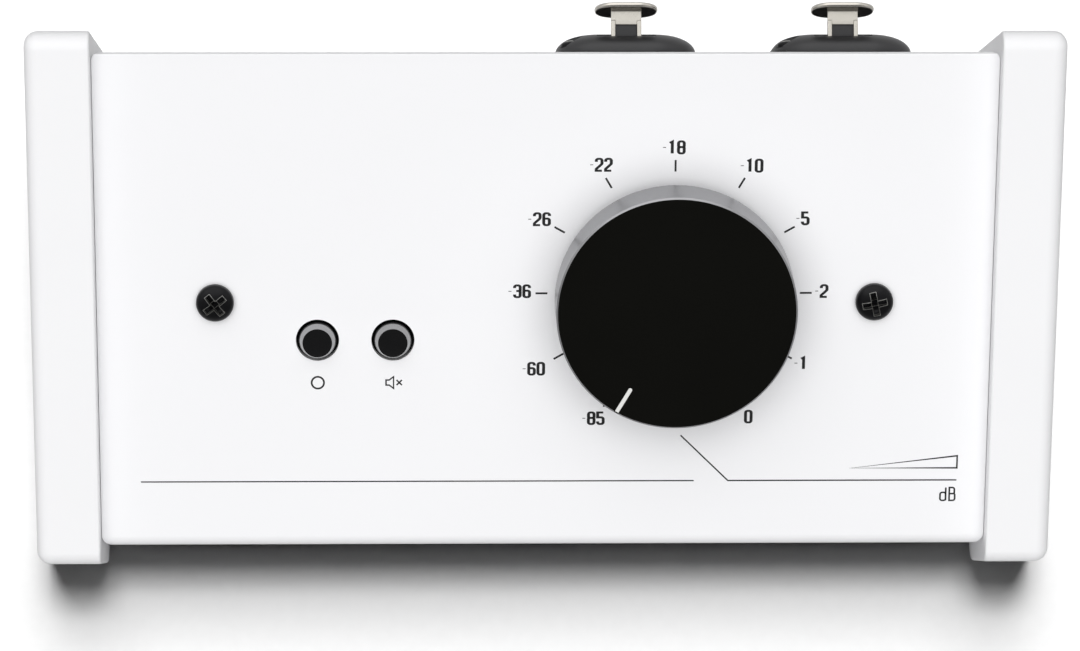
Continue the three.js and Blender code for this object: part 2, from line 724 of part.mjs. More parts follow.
function makeButton({ name, x, up }) {
  const place = (body) => moved(body, x, up, 0);
  const bodyRoof = bodyBottom + switchBody.height;
  const halfBody = switchBody.width / 2;
  const halfPlunger = plunger.width / 2;
  const well = halfPlunger + seatGap;
  const housing = block([-halfBody, halfBody], [-halfBody, halfBody], [bodyBottom, bodyRoof])
    .subtract(block([-well, well], [-well, well], [bodyBottom + seatGap, bodyRoof + overrun]));
  addPiece(panelFrame, `${name}_switch_body`, place(housing), blackPlastic);

  const capFoot = bodyRoof + buttonTravel + button.stop;
  const socketTop = capFoot + button.wellDepth;
  const stem = block([-halfPlunger, halfPlunger], [-halfPlunger, halfPlunger],
    [bodyRoof - plunger.restDepth, socketTop - seatGap]);
  addPiece(panelFrame, `${name}_plunger`, place(stem), whiteInlay);

  const face = button.radius - button.bevel;
  const cap = turned([
    [0, capFoot],
    [button.radius, capFoot],
    [button.radius, button.proud - button.bevel],
    [face, button.proud],
    [face - button.dish, button.proud - button.dish],
    [0, button.proud - button.dish],
  ], medium).subtract(block([-well, well], [-well, well], [capFoot - overrun, socketTop]));
  addPiece(panelFrame, `${name}_button`, place(cap), blackPlastic);
}

// Combination connectors: flange housing with a round cavity, the insert with its jack bore and
// three contact holes, the contact comb down to the board, the release latch, and two screws.
const contact = { radius: 0.6, pitch: 5, carrier: 2.4 };
const latch = {
  width: 5.6,
  wall: 0.8,
  channelHeight: 2,
  channelLength: 2.4,
  stemLift: 0.9,
  stand: 4.5,
  inside: 1.2,
  aboveCavity: 1.15,
  padWidth: 11.6,
  padHeight: 8.6,
  padThickness: 1.1,
  padEdge: 0.35,
};
const latchTravel = 1.8;
const latchAxis = cavityRadius + latch.aboveCavity;
const comboNotch = { width: 10.9, depth: 0.55 };
const tailBoreDepth = 27;

function makeCombo({ name, x }) {
  const place = (body) => moved(body, -x, comboAxisZ, 0);
  const { thickness, radius, edge } = comboFlange;
  const face = seatGap + thickness;
  const plate = prism(roundedRectangle(flangeWidth, flangeHeight, radius), seatGap, face, edge);
  const barrel = rod(barrelRadius, -comboBody.depth, seatGap + edge, fine);
  const tailEnd = -comboBody.depth - comboBody.tailDepth;
  const tail = rod(tailRadius, tailEnd, -comboBody.depth + edge, fine);
  const cavityFloor = face - comboBody.cavityDepth;
  const cavity = rod(cavityRadius, cavityFloor, face + overrun, fine);
  const bore = rod(insert.bore, face - tailBoreDepth, face + overrun, medium);
  const halfSlot = latch.width / 2 + seatGap;
  const slotFloor = latchAxis - latch.wall - seatGap;
  const slotEnd = face - latch.inside - latchTravel - seatGap;
  const slot = block([-halfSlot, halfSlot], [slotFloor, slotFloor + latch.channelHeight + 2 * seatGap],
    [slotEnd, face + overrun]);
  const notch = block([-comboNotch.width / 2, comboNotch.width / 2],
    [flangeHeight / 2 - comboNotch.depth, flangeHeight / 2 + overrun],
    [seatGap - overrun, face + overrun]);
  const spots = [-1, 1].map((side) => [side * flangeScrewOffset, side * flangeScrewOffset]);
  const holes = spots.map(([across, rise]) => moved(
    rod(flangeScrewHole, seatGap - overrun, face + overrun, coarse), across, rise, 0));
  const housing = cut(joined([plate, barrel, tail]), [cavity, bore, slot, notch, ...holes]);
  addPiece(rearFrame, `combo_housing_${name}`, place(housing), blackPlastic);

  const core = rod(insert.radius, cavityFloor + seatGap, face - insert.recess, fine);
  const sockets = Array.from({ length: socket.count }, (_, index) => {
    const angle = Math.PI / 2 + 2 * Math.PI * index / socket.count;
    return moved(
      rod(socket.radius, -socket.depth, overrun, coarse),
      socket.ring * Math.cos(angle),
      socket.ring * Math.sin(angle),
      face - insert.recess);
  });
  addPiece(rearFrame, `combo_insert_${name}`, place(cut(core, [bore, ...sockets])), blackPlastic);

  const legFoot = mainBoardTop + seatGap - comboAxisZ;
  const legZ = (tailEnd - comboBody.depth) / 2;
  const legs = [-1, 0, 1].map((step) => {
    const half = contact.radius;
    const middle = step * contact.pitch;
    const underTail = -Math.sqrt(tailRadius ** 2 - middle ** 2) - seatGap;
    return block([middle - half, middle + half], [legFoot, underTail], [legZ - half, legZ + half]);
  });
  const carrierHalf = contact.pitch + 2 * contact.radius;
  const carrier = block([-carrierHalf, carrierHalf], [legFoot, legFoot + contact.carrier],
    [legZ - contact.carrier / 2, legZ + contact.carrier / 2]);
  addPiece(rearFrame, `combo_contacts_${name}`, place(joined([carrier, ...legs])), nickel);

  addPiece(rearFrame, `combo_latch_${name}`, place(latchSolid(face)), nickel);

  spots.forEach(([across, rise]) => {
    const level = rise > 0 ? 'upper' : 'lower';
    addPiece(rearFrame, `combo_screw_${name}_${level}`,
      place(moved(panScrew(flangeScrew), across, rise, face + seatGap)), blackZinc);
  });
}

// The latch: a folded channel that runs in the housing's slot, a flat stem and an oval thumb pad
function latchSolid(face) {
  const half = latch.width / 2;
  const floor = [latchAxis - latch.wall, latchAxis];
  const start = face - latch.inside;
  const padStart = face + latch.stand;
  const channelEnd = face + latch.channelLength;
  const channel = block([-half, half], floor, [start, channelEnd]);
  const folds = [-1, 1].map((side) => block(
    [side * half, side * (half - latch.wall)].sort((a, b) => a - b),
    [latchAxis - latch.wall, latchAxis - latch.wall + latch.channelHeight], [start, channelEnd]));
  const stemTop = latchAxis + latch.stemLift;
  const step = block([-half, half], [latchAxis - latch.wall, stemTop],
    [channelEnd - latch.wall, channelEnd]);
  const stem = block([-half, half], [stemTop - latch.wall, stemTop],
    [channelEnd - latch.wall, padStart + latch.padThickness / 2]);
  const oval = roundedRectangle(latch.padWidth, latch.padHeight, latch.padHeight / 2 - latch.padEdge);
  const thumbPad = moved(prism(oval, padStart, padStart + latch.padThickness, latch.padEdge),
    0, latchAxis, 0);
  return joined([channel, ...folds, step, stem, thumbPad]);
}

// Jack sockets: a square body on the board, a threaded nose through the wall, and a nut
function makeJack(name, place, size, nutSize) {
  const halfWidth = size.width / 2;
  const halfHeight = size.height / 2;
  const back = -sheet - seatGap;
  const body = block([-halfWidth, halfWidth], [-halfHeight, halfHeight], [back - size.depth, back])
    .add(rod(size.noseRadius, back - overrun, back + size.nose, medium))
    .subtract(rod(size.bore, back + size.nose - size.boreDepth, back + size.nose + overrun, medium));
  addPiece(rearFrame, name, place(body), blackPlastic);
  const hole = size.noseRadius + threadGap;
  const collar = rod(nutSize.radius, seatGap, seatGap + nutSize.height, nut.sides)
    .subtract(rod(hole, seatGap - overrun, seatGap + nutSize.height + overrun, medium));
  addPiece(rearFrame, `${name}_nut`, place(collar), nickel);
}

const jackNut = { radius: 7, height: 2 };
const auxNut = { radius: 4.6, height: 1.5 };

// Ribbon cable between the header soldered under the panel board and the one on the main board.
// Its front face leaves the upper header, bends once, and goes straight down into the lower one.
function ribbonLine() {
  const leaves = new THREE.Vector3(0, header.up, panelBoardUnder - header.height - seatGap)
    .applyMatrix4(panelFrame.matrix);
  const enters = mainBoardTop + header.height + seatGap;
  const bendZ = (leaves.z + enters) / 2;
  const bendY = leaves.y + (leaves.z - bendZ) * Math.tan(slope);
  return [[leaves.y, leaves.z], [bendY, bendZ], [bendY, enters]];
}

function headerBlock(middle, bottom, top) {
  const half = header.width / 2;
  return block([ribbon.x - half, ribbon.x + half],
    [middle - header.depth / 2, middle + header.depth / 2], [bottom, top]);
}

function panelHeader() {
  return headerBlock(header.up, panelBoardUnder - header.height, panelBoardUnder + boardThickness / 2);
}

function mainHeader() {
  const [entry] = ribbonLine().at(-1);
  return headerBlock(entry, mainBoardTop - boardThickness / 2, mainBoardTop + header.height);
}

function makeRibbon() {
  const half = ribbon.width / 2;
  const strip = bentStrip(ribbonLine(), ribbon.thickness, ribbon.radius);
  addPiece(caseFrame, 'ribbon_cable', acrossCase(strip, ribbon.x - half, ribbon.x + half), greyRibbon);
}

// Assembly
makeCheek('left_cheek', -1);
makeCheek('right_cheek', 1);
makeFootPads('left', -1);
makeFootPads('right', 1);
makeControlPanel();
makeBaseTray();
makeRearBracket();
makeCaseScrews();
makePanelBoard();
makeMainBoard();
makeAttenuator();
makeKnob();
buttonPlaces.forEach(makeButton);
comboPlaces.forEach(makeCombo);
for (const { name, x } of jackPlaces) {
  makeJack(`output_jack_${name}`, (body) => moved(body, -x, jackZ, 0), jack, jackNut);
}
makeJack('aux_jack', (body) => moved(body, -auxX, auxZ, 0), aux, auxNut);
makeRibbon();

// The part's origin is the middle of the footprint of everything, down on the surface it stands on.
const rearReach = caseRear + seatGap + comboFlange.thickness + latch.stand + latch.padThickness;
const controller = new THREE.Group();
controller.add(caseFrame);
caseFrame.position.y = (cheekDepth / 2 - rearReach) / 2;

export default controller;
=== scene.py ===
# %% [markdown]
# # A studio monitor controller
# The real object is a low desktop box: a folded white sheet-metal case between two thick lacquered
# cheeks, with one large volume knob, two push buttons, and its sockets on the rear wall. Its CAD
# model is already packed, so this lesson loads it as a fixed frame and dresses it, piece by piece.

# %% Load the frame
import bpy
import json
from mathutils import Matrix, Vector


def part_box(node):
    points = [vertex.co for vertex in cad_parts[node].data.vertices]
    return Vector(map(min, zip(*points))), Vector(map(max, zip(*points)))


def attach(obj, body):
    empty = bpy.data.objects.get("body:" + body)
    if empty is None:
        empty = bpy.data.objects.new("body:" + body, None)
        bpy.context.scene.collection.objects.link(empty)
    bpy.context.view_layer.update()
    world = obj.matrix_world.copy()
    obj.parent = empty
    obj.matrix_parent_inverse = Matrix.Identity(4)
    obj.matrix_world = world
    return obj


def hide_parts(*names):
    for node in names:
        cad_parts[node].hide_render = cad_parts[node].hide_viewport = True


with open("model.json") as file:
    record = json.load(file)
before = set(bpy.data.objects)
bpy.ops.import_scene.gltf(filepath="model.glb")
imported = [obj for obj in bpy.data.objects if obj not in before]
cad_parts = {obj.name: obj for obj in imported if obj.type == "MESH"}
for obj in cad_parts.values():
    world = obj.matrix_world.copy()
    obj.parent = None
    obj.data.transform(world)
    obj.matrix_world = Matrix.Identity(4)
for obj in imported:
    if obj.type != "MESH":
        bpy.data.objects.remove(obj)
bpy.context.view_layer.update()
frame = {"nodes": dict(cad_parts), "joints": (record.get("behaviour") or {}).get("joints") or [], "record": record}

# %% [markdown]
# ## Where things are
# The panel slopes, so anything that sits on it is easiest to draw flat and then carry over with one
# matrix. The knob's joint gives that matrix: its axis points into the panel, and its place is the
# middle of the dial. Pieces are drawn in millimetres, and the matrix brings them to metres.

# %% Frames for the panel and the dial
import json
import math

import bmesh
import bpy
from mathutils import Matrix, Vector

MM = 0.001
knob_joint = next(joint for joint in frame["joints"] if joint["name"] == "knob_turn")
dial_middle = Vector(knob_joint["pos_m"])
outward = -Vector(knob_joint["axis"])
across = Vector((1, 0, 0))
upslope = outward.cross(across)
dial_above_middle = 1.544 * MM
panel_middle = dial_middle - across * dial_middle.x - upslope * dial_above_middle


def frame_at(origin, x_axis, y_axis, z_axis):
    """A matrix that carries millimetres drawn on those axes to metres in the object."""
    turn = Matrix((x_axis, y_axis, z_axis)).transposed().to_4x4()
    return Matrix.Translation(origin) @ turn @ Matrix.Scale(MM, 4)


on_panel = frame_at(panel_middle, across, upslope, outward)
on_dial = frame_at(dial_middle, across, upslope, outward)
as_drawn = Matrix.Scale(MM, 4)
print("The dial's middle is at", [round(value, 4) for value in dial_middle])

# %% [markdown]
# ## Finishes
# No surface of a real object has one flat colour. A picture could show that, but it would tie a
# finish to one shape, so every finish here is a tree of nodes. Three helpers keep such trees short.
# The first two serve materials, the sky and Geometry Nodes alike, and the third mixes colours.

# %% Helpers for node trees
def feed(tree, item, inputs):
    """Gives a node its inputs, which are constants or other nodes' outputs."""
    for key, value in dict(inputs).items():
        if isinstance(value, bpy.types.NodeSocket):
            tree.links.new(value, item.inputs[key])
        else:
            item.inputs[key].default_value = value


def node(tree, kind, inputs=(), output=0, **settings):
    """Makes a node with its settings and inputs, and gives one of its outputs."""
    item = tree.nodes.new(kind)
    for key, value in settings.items():
        setattr(item, key, value)
    feed(tree, item, inputs)
    return item.outputs[output]


def mixed(tree, pattern, one, two):
    """A colour between two others, as the pattern says."""
    return node(tree, "ShaderNodeMix", {"Factor": pattern, "A": [*one, 1], "B": [*two, 1]},
                "Result", data_type="RGBA")


print("The CAD nodes bring", len(bpy.data.materials), "materials of their own")

# %% [markdown]
# All finishes start from one recipe: a soft blotch in the colour, a grain that changes how rough it
# is, and the same grain as relief. The patterns read Object coordinates, so they stay at their real
# size on every piece. Powder coat, the first one, dries with a fine orange peel.

# %% A recipe for a grained finish
blotch_size = 22


def grained(name, colour, roughness, metallic=0.0, grain=0.5, relief=0.02, blotch=0.03, spread=0.05,
            stretch=(1, 1, 1), gloss=0.5):
    """Colour with a blotch, roughness with a spread, and relief in millimetres."""
    material = bpy.data.materials.new(name)
    material.use_nodes = True
    tree = material.node_tree
    place = node(tree, "ShaderNodeTexCoord", output="Object")
    wide = node(tree, "ShaderNodeTexNoise",
                {"Vector": place, "Scale": 1 / (blotch_size * MM), "Detail": 3}, "Fac")
    stretched = node(tree, "ShaderNodeMapping", {"Vector": place, "Scale": stretch})
    fine = node(tree, "ShaderNodeTexNoise",
                {"Vector": stretched, "Scale": 1 / (grain * MM), "Detail": 4}, "Fac")
    darker = [channel * (1 - blotch) for channel in colour]
    lighter = [min(channel * (1 + blotch), 1) for channel in colour]
    feed(tree, tree.nodes["Principled BSDF"], {
        "Metallic": metallic,
        "Specular IOR Level": gloss,
        "Base Color": mixed(tree, wide, darker, lighter),
        "Roughness": node(tree, "ShaderNodeMapRange", {
            "Value": fine, "To Min": max(roughness - spread, 0.02),
            "To Max": min(roughness + spread, 1)}),
        "Normal": node(tree, "ShaderNodeBump",
                       {"Height": fine, "Strength": 1, "Distance": relief * MM}),
    })
    return material


powder = grained("white powder coat", (0.9, 0.9, 0.915), 0.6, grain=0.55, relief=0.012,
                 blotch=0.008, gloss=0.2)
print(powder.name, "has", len(powder.node_tree.nodes), "nodes")

# %% [markdown]
# The cheeks have lacquer, which is smoother than powder and lies in longer waves. The knob's face is
# black anodised, the buttons and connectors are plastic, and the screws black zinc. A real black is
# never zero, or its shape would be lost, so each one is a very dark grey with a little gloss.

# %% Painted, printed and moulded finishes
lacquer = grained("white lacquer", (0.9, 0.9, 0.912), 0.45, grain=2.6, relief=0.006,
                  blotch=0.01, gloss=0.3)
anodised = grained("black anodised", (0.0035, 0.0035, 0.0028), 0.6, grain=0.16, relief=0.008,
                   blotch=0.25, spread=0.08, gloss=0.06)
white_line = grained("white filled line", (0.76, 0.76, 0.74), 0.5, grain=0.2, relief=0.008,
                     blotch=0.04)
black_zinc = grained("black zinc", (0.009, 0.009, 0.01), 0.3, metallic=0.4, grain=0.25,
                     relief=0.006, blotch=0.2, gloss=0.2)
moulded = grained("black moulded plastic", (0.022, 0.022, 0.0235), 0.4, grain=0.22, relief=0.01,
                  blotch=0.08, gloss=0.45)
gloss_black = grained("polished black cap", (0.006, 0.006, 0.0065), 0.14, grain=0.8, relief=0.002,
                      blotch=0.1, spread=0.03, gloss=0.4)
rubber = grained("matt rubber", (0.024, 0.024, 0.024), 0.85, grain=0.3, relief=0.03, blotch=0.1)
ink = grained("screen-printed ink", (0.012, 0.012, 0.013), 0.55, grain=0.12, relief=0.003,
              blotch=0.15)
natural = grained("natural white plastic", (0.78, 0.77, 0.72), 0.4, grain=0.4, relief=0.006)
print(len(bpy.data.materials), "materials so far")

# %% [markdown]
# The knob's side is bare metal from the lathe, so its grain is stretched along the cut. The nuts and
# latches are satin nickel, a little warmer than steel. A metal takes its colour from what it mirrors,
# so only a tint and a roughness are set here.

# %% Metal finishes
turned_side = grained("turned side", (0.3, 0.3, 0.31), 0.34, metallic=1.0, grain=0.3, relief=0.004,
                      blotch=0.05, stretch=(0.15, 1, 1))
# Bare metal worn through on a screw's recess edges, which also serves as a painted highlight there.
worn_edge_and_highlight = grained("worn edge of a screw with a painted highlight", (0.55, 0.55, 0.52), 0.35, metallic=1.0, grain=0.2,
                    relief=0.006, blotch=0.5)
# Painted highlight: a grey metal finish on the black caps' bevels stands in for their reflection.
painted_bevel_highlight = grained("painted highlight on a cap's bevel", (0.36, 0.36, 0.364), 0.2, metallic=1.0, grain=0.8,
                    relief=0.002, blotch=0.2, spread=0.04)
nickel = grained("satin nickel", (0.58, 0.555, 0.505), 0.24, metallic=1.0, grain=0.35,
                 relief=0.004, blotch=0.05)
steel = grained("zinc-plated steel", (0.5, 0.51, 0.52), 0.34, metallic=1.0, grain=0.5,
                relief=0.006, blotch=0.08)
brass = grained("turned brass", (0.68, 0.48, 0.22), 0.3, metallic=1.0, grain=0.2, relief=0.004,
                blotch=0.08, stretch=(1, 1, 4))
print(len(bpy.data.materials), "materials so far")

# %% [markdown]
# Two finishes have a pattern of their own. A circuit board is solder resist over copper, and the
# tracks show as lines that are a little lighter. A ribbon cable is a row of round wires side by side.
# Both are stripes of one pitch, so a wave texture drives their colour and their relief. On the cable
# the colour is darker in the grooves between the wires, which is painted shade. At a scale of one its
# stripes lie 0.314 m apart, and a larger scale brings them closer.

# %% Circuit board and ribbon cable
wave_period = 0.314
track_pitch, wire_pitch = 2.54, 1.27


def striped(name, base, other, pitch, roughness, relief, rotate=0.0):
    """Stripes of one pitch, in millimetres, in the colour and in the relief."""
    material = grained(name, base, roughness, grain=0.6, relief=0.004)
    tree = material.node_tree
    place = node(tree, "ShaderNodeTexCoord", output="Object")
    turned_place = node(tree, "ShaderNodeMapping", {"Vector": place, "Rotation": (0, 0, rotate)})
    wave = node(tree, "ShaderNodeTexWave",
                {"Vector": turned_place, "Scale": 1 / (pitch * MM) * wave_period}, "Fac")
    feed(tree, tree.nodes["Principled BSDF"], {
        "Base Color": mixed(tree, wave, base, other),
        "Normal": node(tree, "ShaderNodeBump", {"Height": wave, "Distance": relief * MM}),
    })
    return material


board = striped("green circuit board", (0.02, 0.13, 0.06), (0.05, 0.26, 0.12), track_pitch, 0.38,
                0.03, 0.785)
# Painted shade: the cable's colour darkens in the grooves between its round wires.
ribbon = striped("grey ribbon cable with painted shade", (0.3, 0.31, 0.32), (0.42, 0.43, 0.44), wire_pitch, 0.55, 0.2)
print("Tracks lie", track_pitch, "mm apart, and wires", wire_pitch, "mm")

# %% [markdown]
# ## CAD nodes that stay
# Boards, brackets and hidden hardware already have their right shape, so redrawing them would add
# nothing. They only need their finish. The record names a slot for each node, and one table gives
# each slot its finish.

# %% Give every CAD node its finish
finish_of_slot = {
    "white_panel": powder, "white_cheek": lacquer, "foot_rubber": rubber, "bare_steel": steel,
    "black_screw": black_zinc, "board_green": board, "nickel": nickel, "knob_black": anodised,
    "pointer_white": white_line, "brass": brass, "black_plastic": moulded,
    "button_black": gloss_black, "plunger_white": natural, "ribbon_grey": ribbon,
}
for part in frame["record"]["subparts"]:
    mesh = frame["nodes"][part["node"]].data
    mesh.materials.clear()
    mesh.materials.append(finish_of_slot[part["material_slot"]])

# %% [markdown]
# ## Cheeks
# The real cheeks are thick boards under white lacquer, and they stand a little proud of the case all
# round. Their outline is read off the CAD node's box and follows the panel's slope. It is a ring of
# points, with an arc of points at each rounded corner.

# %% The outline of a cheek
reveal = 3.6
toe_radius, corner_radius = 4.6, 3
slope_sin, slope_cos = upslope.z, upslope.y


def rounded(corners, steps=8):
    """Points round an outline. A corner is (x, y, radius)."""
    points = []
    for index, (x, y, radius) in enumerate(corners):
        here = Vector((x, y))
        if not radius:
            points.append(here)
            continue
        back = (Vector(corners[index - 1][:2]) - here).normalized()
        ahead = (Vector(corners[(index + 1) % len(corners)][:2]) - here).normalized()
        half = back.angle(ahead) / 2
        middle = here + (back + ahead).normalized() * radius / math.sin(half)
        first = here + back * radius / math.tan(half) - middle
        last = here + ahead * radius / math.tan(half) - middle
        for step in range(steps + 1):
            points.append(middle + first.slerp(last, step / steps).normalized() * radius)
    return points


def panel_top(y):
    """Height of the panel's face, in millimetres, at a place from front to rear."""
    return (panel_middle.z / MM) + (y - panel_middle.y / MM) * slope_sin / slope_cos


def cheek_outline(low, high):
    """The outline in Y and Z, inside a box in millimetres."""
    return rounded([
        (low.y, low.z, toe_radius),
        (high.y, low.z, corner_radius),
        (high.y, panel_top(high.y) + reveal / slope_cos, corner_radius),
        (low.y, panel_top(low.y) + reveal / slope_cos, corner_radius),
    ])


cheek_boxes = {}
for name, side in (("left", -1), ("right", 1)):
    cheek_boxes[name] = [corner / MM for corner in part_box("left_cheek" if side < 0 else "right_cheek")]
print("A cheek's outline has", len(cheek_outline(*cheek_boxes["left"])), "points")

# %% [markdown]
# A Bevel modifier would round every edge alike, but a cheek's outer edge is soft and the one against
# the case is hardly broken. So a board is a skin over a stack of loops. The loops are copies of its
# outline, and they shrink where its edge is rounded.

# %% A slab with rounded edges
def next_apart(points, index, way):
    """The nearest point before or after one that isn't in the same place."""
    places = (points[(index + way * step) % len(points)] for step in range(1, len(points)))
    return next(place for place in places if (place - points[index]).length > 1e-6)


def shrunk(points, inset):
    """The same outline, moved inwards along its own normals."""
    moved = []
    for index, point in enumerate(points):
        one = (point - next_apart(points, index, -1)).normalized()
        two = (next_apart(points, index, 1) - point).normalized()
        normals = [Vector((-one.y, one.x)), Vector((-two.y, two.x))]
        middle = (normals[0] + normals[1]).normalized()
        moved.append(point + middle * inset / max(middle.dot(normals[0]), 0.2))
    return moved


def closed_mesh(shape):
    """The mesh of a closed shape, with its faces turned outwards."""
    bmesh.ops.recalc_face_normals(shape, faces=shape.faces)
    mesh = bpy.data.meshes.new("shape")
    shape.to_mesh(mesh)
    shape.free()
    return mesh


def skinned(loops, capped=True):
    """A closed body over loops of the same number of points."""
    shape = bmesh.new()
    rings = [[shape.verts.new(point) for point in loop] for loop in loops]
    for lower, upper in zip(rings, rings[1:]):
        for index in range(len(lower)):
            after = (index + 1) % len(lower)
            shape.faces.new((lower[index], lower[after], upper[after], upper[index]))
    if capped:
        shape.faces.new(rings[0][::-1])
        shape.faces.new(rings[-1])
    bmesh.ops.remove_doubles(shape, verts=shape.verts, dist=1e-4)
    return closed_mesh(shape)


def slab(outline, bottom, top, round_top=0.0, round_bottom=0.0, steps=6):
    """An outline with thickness. An edge may be rounded by a radius, or by a reach and a drop."""
    levels = []
    for edge, size, sign in ((bottom, round_bottom, 1), (top, round_top, -1)):
        reach, drop = size if isinstance(size, tuple) else (size, size)
        arc = [math.pi / 2 * step / steps for step in range(steps + 1)] if reach else [math.pi / 2]
        side = [(reach * (1 - math.sin(angle)), edge + sign * drop * (1 - math.cos(angle)))
                for angle in arc]
        levels += side if sign > 0 else side[::-1]
    return skinned([[Vector((*point, height)) for point in shrunk(outline, inset)]
                    for inset, height in levels])


outer_edge, inner_edge = 2.6, 0.5
boards = {}
for name, (low, high) in cheek_boxes.items():
    boards[name] = slab(cheek_outline(low, high), 0, high.x - low.x, outer_edge, inner_edge, steps=8)
    print("The", name, "board has", len(boards[name].polygons), "faces")

# %% [markdown]
# A piece needs its place, its finish, the body that it rides on, and the CAD nodes that it replaces.
# Smooth shading alone would bend the light across a flat face, so sharp edges are marked by their
# angle, and Weighted Normal keeps flat faces flat. The modifier is evaluated at once into a plain
# mesh. One cheek mirrors the other, which turns it inside out, so its normals are recalculated.

# %% Stand both cheeks beside the case
def evaluated(item):
    """The mesh of an object with its modifiers applied."""
    graph = bpy.context.evaluated_depsgraph_get()
    return bpy.data.meshes.new_from_object(item.evaluated_get(graph), depsgraph=graph)


def add_piece(name, mesh, material, body, nodes=(), matrix=as_drawn, crease=32):
    """Puts a mesh, drawn in millimetres, into the object and lets it ride on a body."""
    mesh.transform(matrix)
    mesh.name = name
    mesh.materials.clear()
    mesh.materials.append(material)
    mesh.shade_smooth()
    mesh.set_sharp_from_angle(angle=math.radians(crease))
    piece = bpy.data.objects.new(name, mesh)
    bpy.context.scene.collection.objects.link(piece)
    even = piece.modifiers.new("even shading", "WEIGHTED_NORMAL")
    even.keep_sharp = True
    shaded = evaluated(piece)
    piece.modifiers.remove(even)
    piece.data = shaded
    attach(piece, body)
    if nodes:
        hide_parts(*nodes)
    print(name, "has", len(mesh.polygons), "faces")
    return piece


for name, side in (("left", -1), ("right", 1)):
    low, high = cheek_boxes[name]
    inner = high.x if side < 0 else low.x
    boards[name].transform(Matrix((
        (0, 0, side, inner), (1, 0, 0, 0), (0, 1, 0, 0), (0, 0, 0, 1))))
    shape = bmesh.new()
    shape.from_mesh(boards[name])
    add_piece(f"{name}_side_cheek", closed_mesh(shape), lacquer, "chassis",
              [f"{name}_cheek"])

# %% [markdown]
# ## Control panel
# One sheet of steel is folded twice, and the fold along the front edge shows as a soft bright line.
# Solidify could give a folded strip its wall. Here the wall is part of the profile, which keeps the
# inside of each fold exact, and the profile is stretched across.

# %% The folded sheet
sheet, fold, flange_width, cut_corner = 1.5, 2.5, 10, 0.2
case_low, case_high = (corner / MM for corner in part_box("control_panel"))
panel_edge = case_high.x + 0.2
along_x = Matrix(((0, 0, 1, 0), (1, 0, 0, 0), (0, 1, 0, 0), (0, 0, 0, 1)))


def placed(mesh, matrix):
    """The same mesh, moved."""
    mesh.transform(matrix)
    return mesh


def panel_profile():
    """The folded sheet's outline in Y and Z, counter-clockwise."""
    front, rear, foot = case_low.y, case_high.y, case_low.z
    flange_end = front + flange_width
    end_y = rear - sheet * slope_sin
    under = sheet / slope_cos
    return rounded([
        (front, foot, fold),
        (flange_end, foot, cut_corner),
        (flange_end, foot + sheet, cut_corner),
        (front + sheet, foot + sheet, fold - sheet),
        (front + sheet, panel_top(front + sheet) - under, fold - sheet),
        (rear, panel_top(end_y) - sheet * slope_cos, cut_corner),
        (end_y, panel_top(end_y), cut_corner),
        (front, panel_top(front), fold),
    ])


folded = placed(slab(panel_profile(), -panel_edge, panel_edge), along_x)
print("The sheet is", round(2 * panel_edge, 1), "mm wide and has", len(folded.polygons), "faces")

# %% [markdown]
# The sheet is then cut to a plan with small round corners, and drilled. Doing that by hand would need
# new faces round every cut, so Boolean modifiers do it. A narrow Bevel may follow them, because a
# real edge always catches a thin line of light.

# %% Cut the sheet to its plan
plan_corner = 1.8


def worked(mesh, cutters=(), bevel=0.0, segments=2, operation="DIFFERENCE"):
    """The mesh after its cutters and its bevel."""
    target = bpy.data.objects.new("target", mesh)
    tools = [bpy.data.objects.new("cutter", cutter) for cutter in cutters]
    for item in [target, *tools]:
        bpy.context.scene.collection.objects.link(item)
    for tool in tools:
        boolean = target.modifiers.new("carve", "BOOLEAN")
        boolean.operation = operation
        boolean.solver = "EXACT"
        boolean.object = tool
    if bevel:
        edge = target.modifiers.new("edge", "BEVEL")
        edge.width = bevel
        edge.segments = segments
        edge.limit_method = "ANGLE"
        edge.angle_limit = math.radians(40)
    result = evaluated(target)
    for item in [target, *tools]:
        bpy.data.objects.remove(item)
    return result


def box_corners(x, y, radius=0):
    """The corners of a rectangle between two pairs of values, for an outline."""
    return [(x[0], y[0], radius), (x[1], y[0], radius), (x[1], y[1], radius), (x[0], y[1], radius)]


plan = rounded(box_corners((-panel_edge, panel_edge), (case_low.y, case_high.y), plan_corner))
trimmed = worked(folded, [slab(plan, -5, 90)], operation="INTERSECT")
print("The trimmed sheet has", len(trimmed.polygons), "faces")

# %% [markdown]
# The holes for the buttons, the knob's bushing and the two screws are square to the slope. Their
# places are read off the CAD nodes that sit in them. The drills are turned bodies: a profile goes
# round an axis, as on a lathe, and that helper will serve the knob and the buttons too.

# %% Drill the panel
on_panel_mm = Matrix.Scale(1 / MM, 4) @ on_panel
button_up = -7.5
button_hole, bushing_hole, screw_hole = 4, 4.7, 1.95


def turned(profile, segments=96):
    """A body turned round Z from (radius, height) pairs that start and end on the axis."""
    around = [math.tau * step / segments for step in range(segments)]
    return skinned([[Vector((radius * math.cos(angle), radius * math.sin(angle), height))
                     for angle in around] for radius, height in profile], capped=False)


def cylinder(radius, bottom, top, segments=64):
    """A plain round body on Z."""
    return turned([(0, bottom), (radius, bottom), (radius, top), (0, top)], segments)


def middle_of(node):
    """The middle of a CAD node's box, in millimetres."""
    low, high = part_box(node)
    return (low + high) / 2 / MM


holes = [
    (button_hole, middle_of("mono_button").x, button_up),
    (button_hole, middle_of("mute_button").x, button_up),
    (bushing_hole, dial_middle.x / MM, dial_above_middle / MM),
    (screw_hole, middle_of("panel_screw_left").x, 0),
    (screw_hole, middle_of("panel_screw_right").x, 0),
]
drills = [placed(cylinder(radius, -4, 4), on_panel_mm @ Matrix.Translation((x, up, 0)))
          for radius, x, up in holes]
add_piece("folded_panel", worked(trimmed, drills, bevel=0.12), powder, "chassis",
          ["control_panel"])

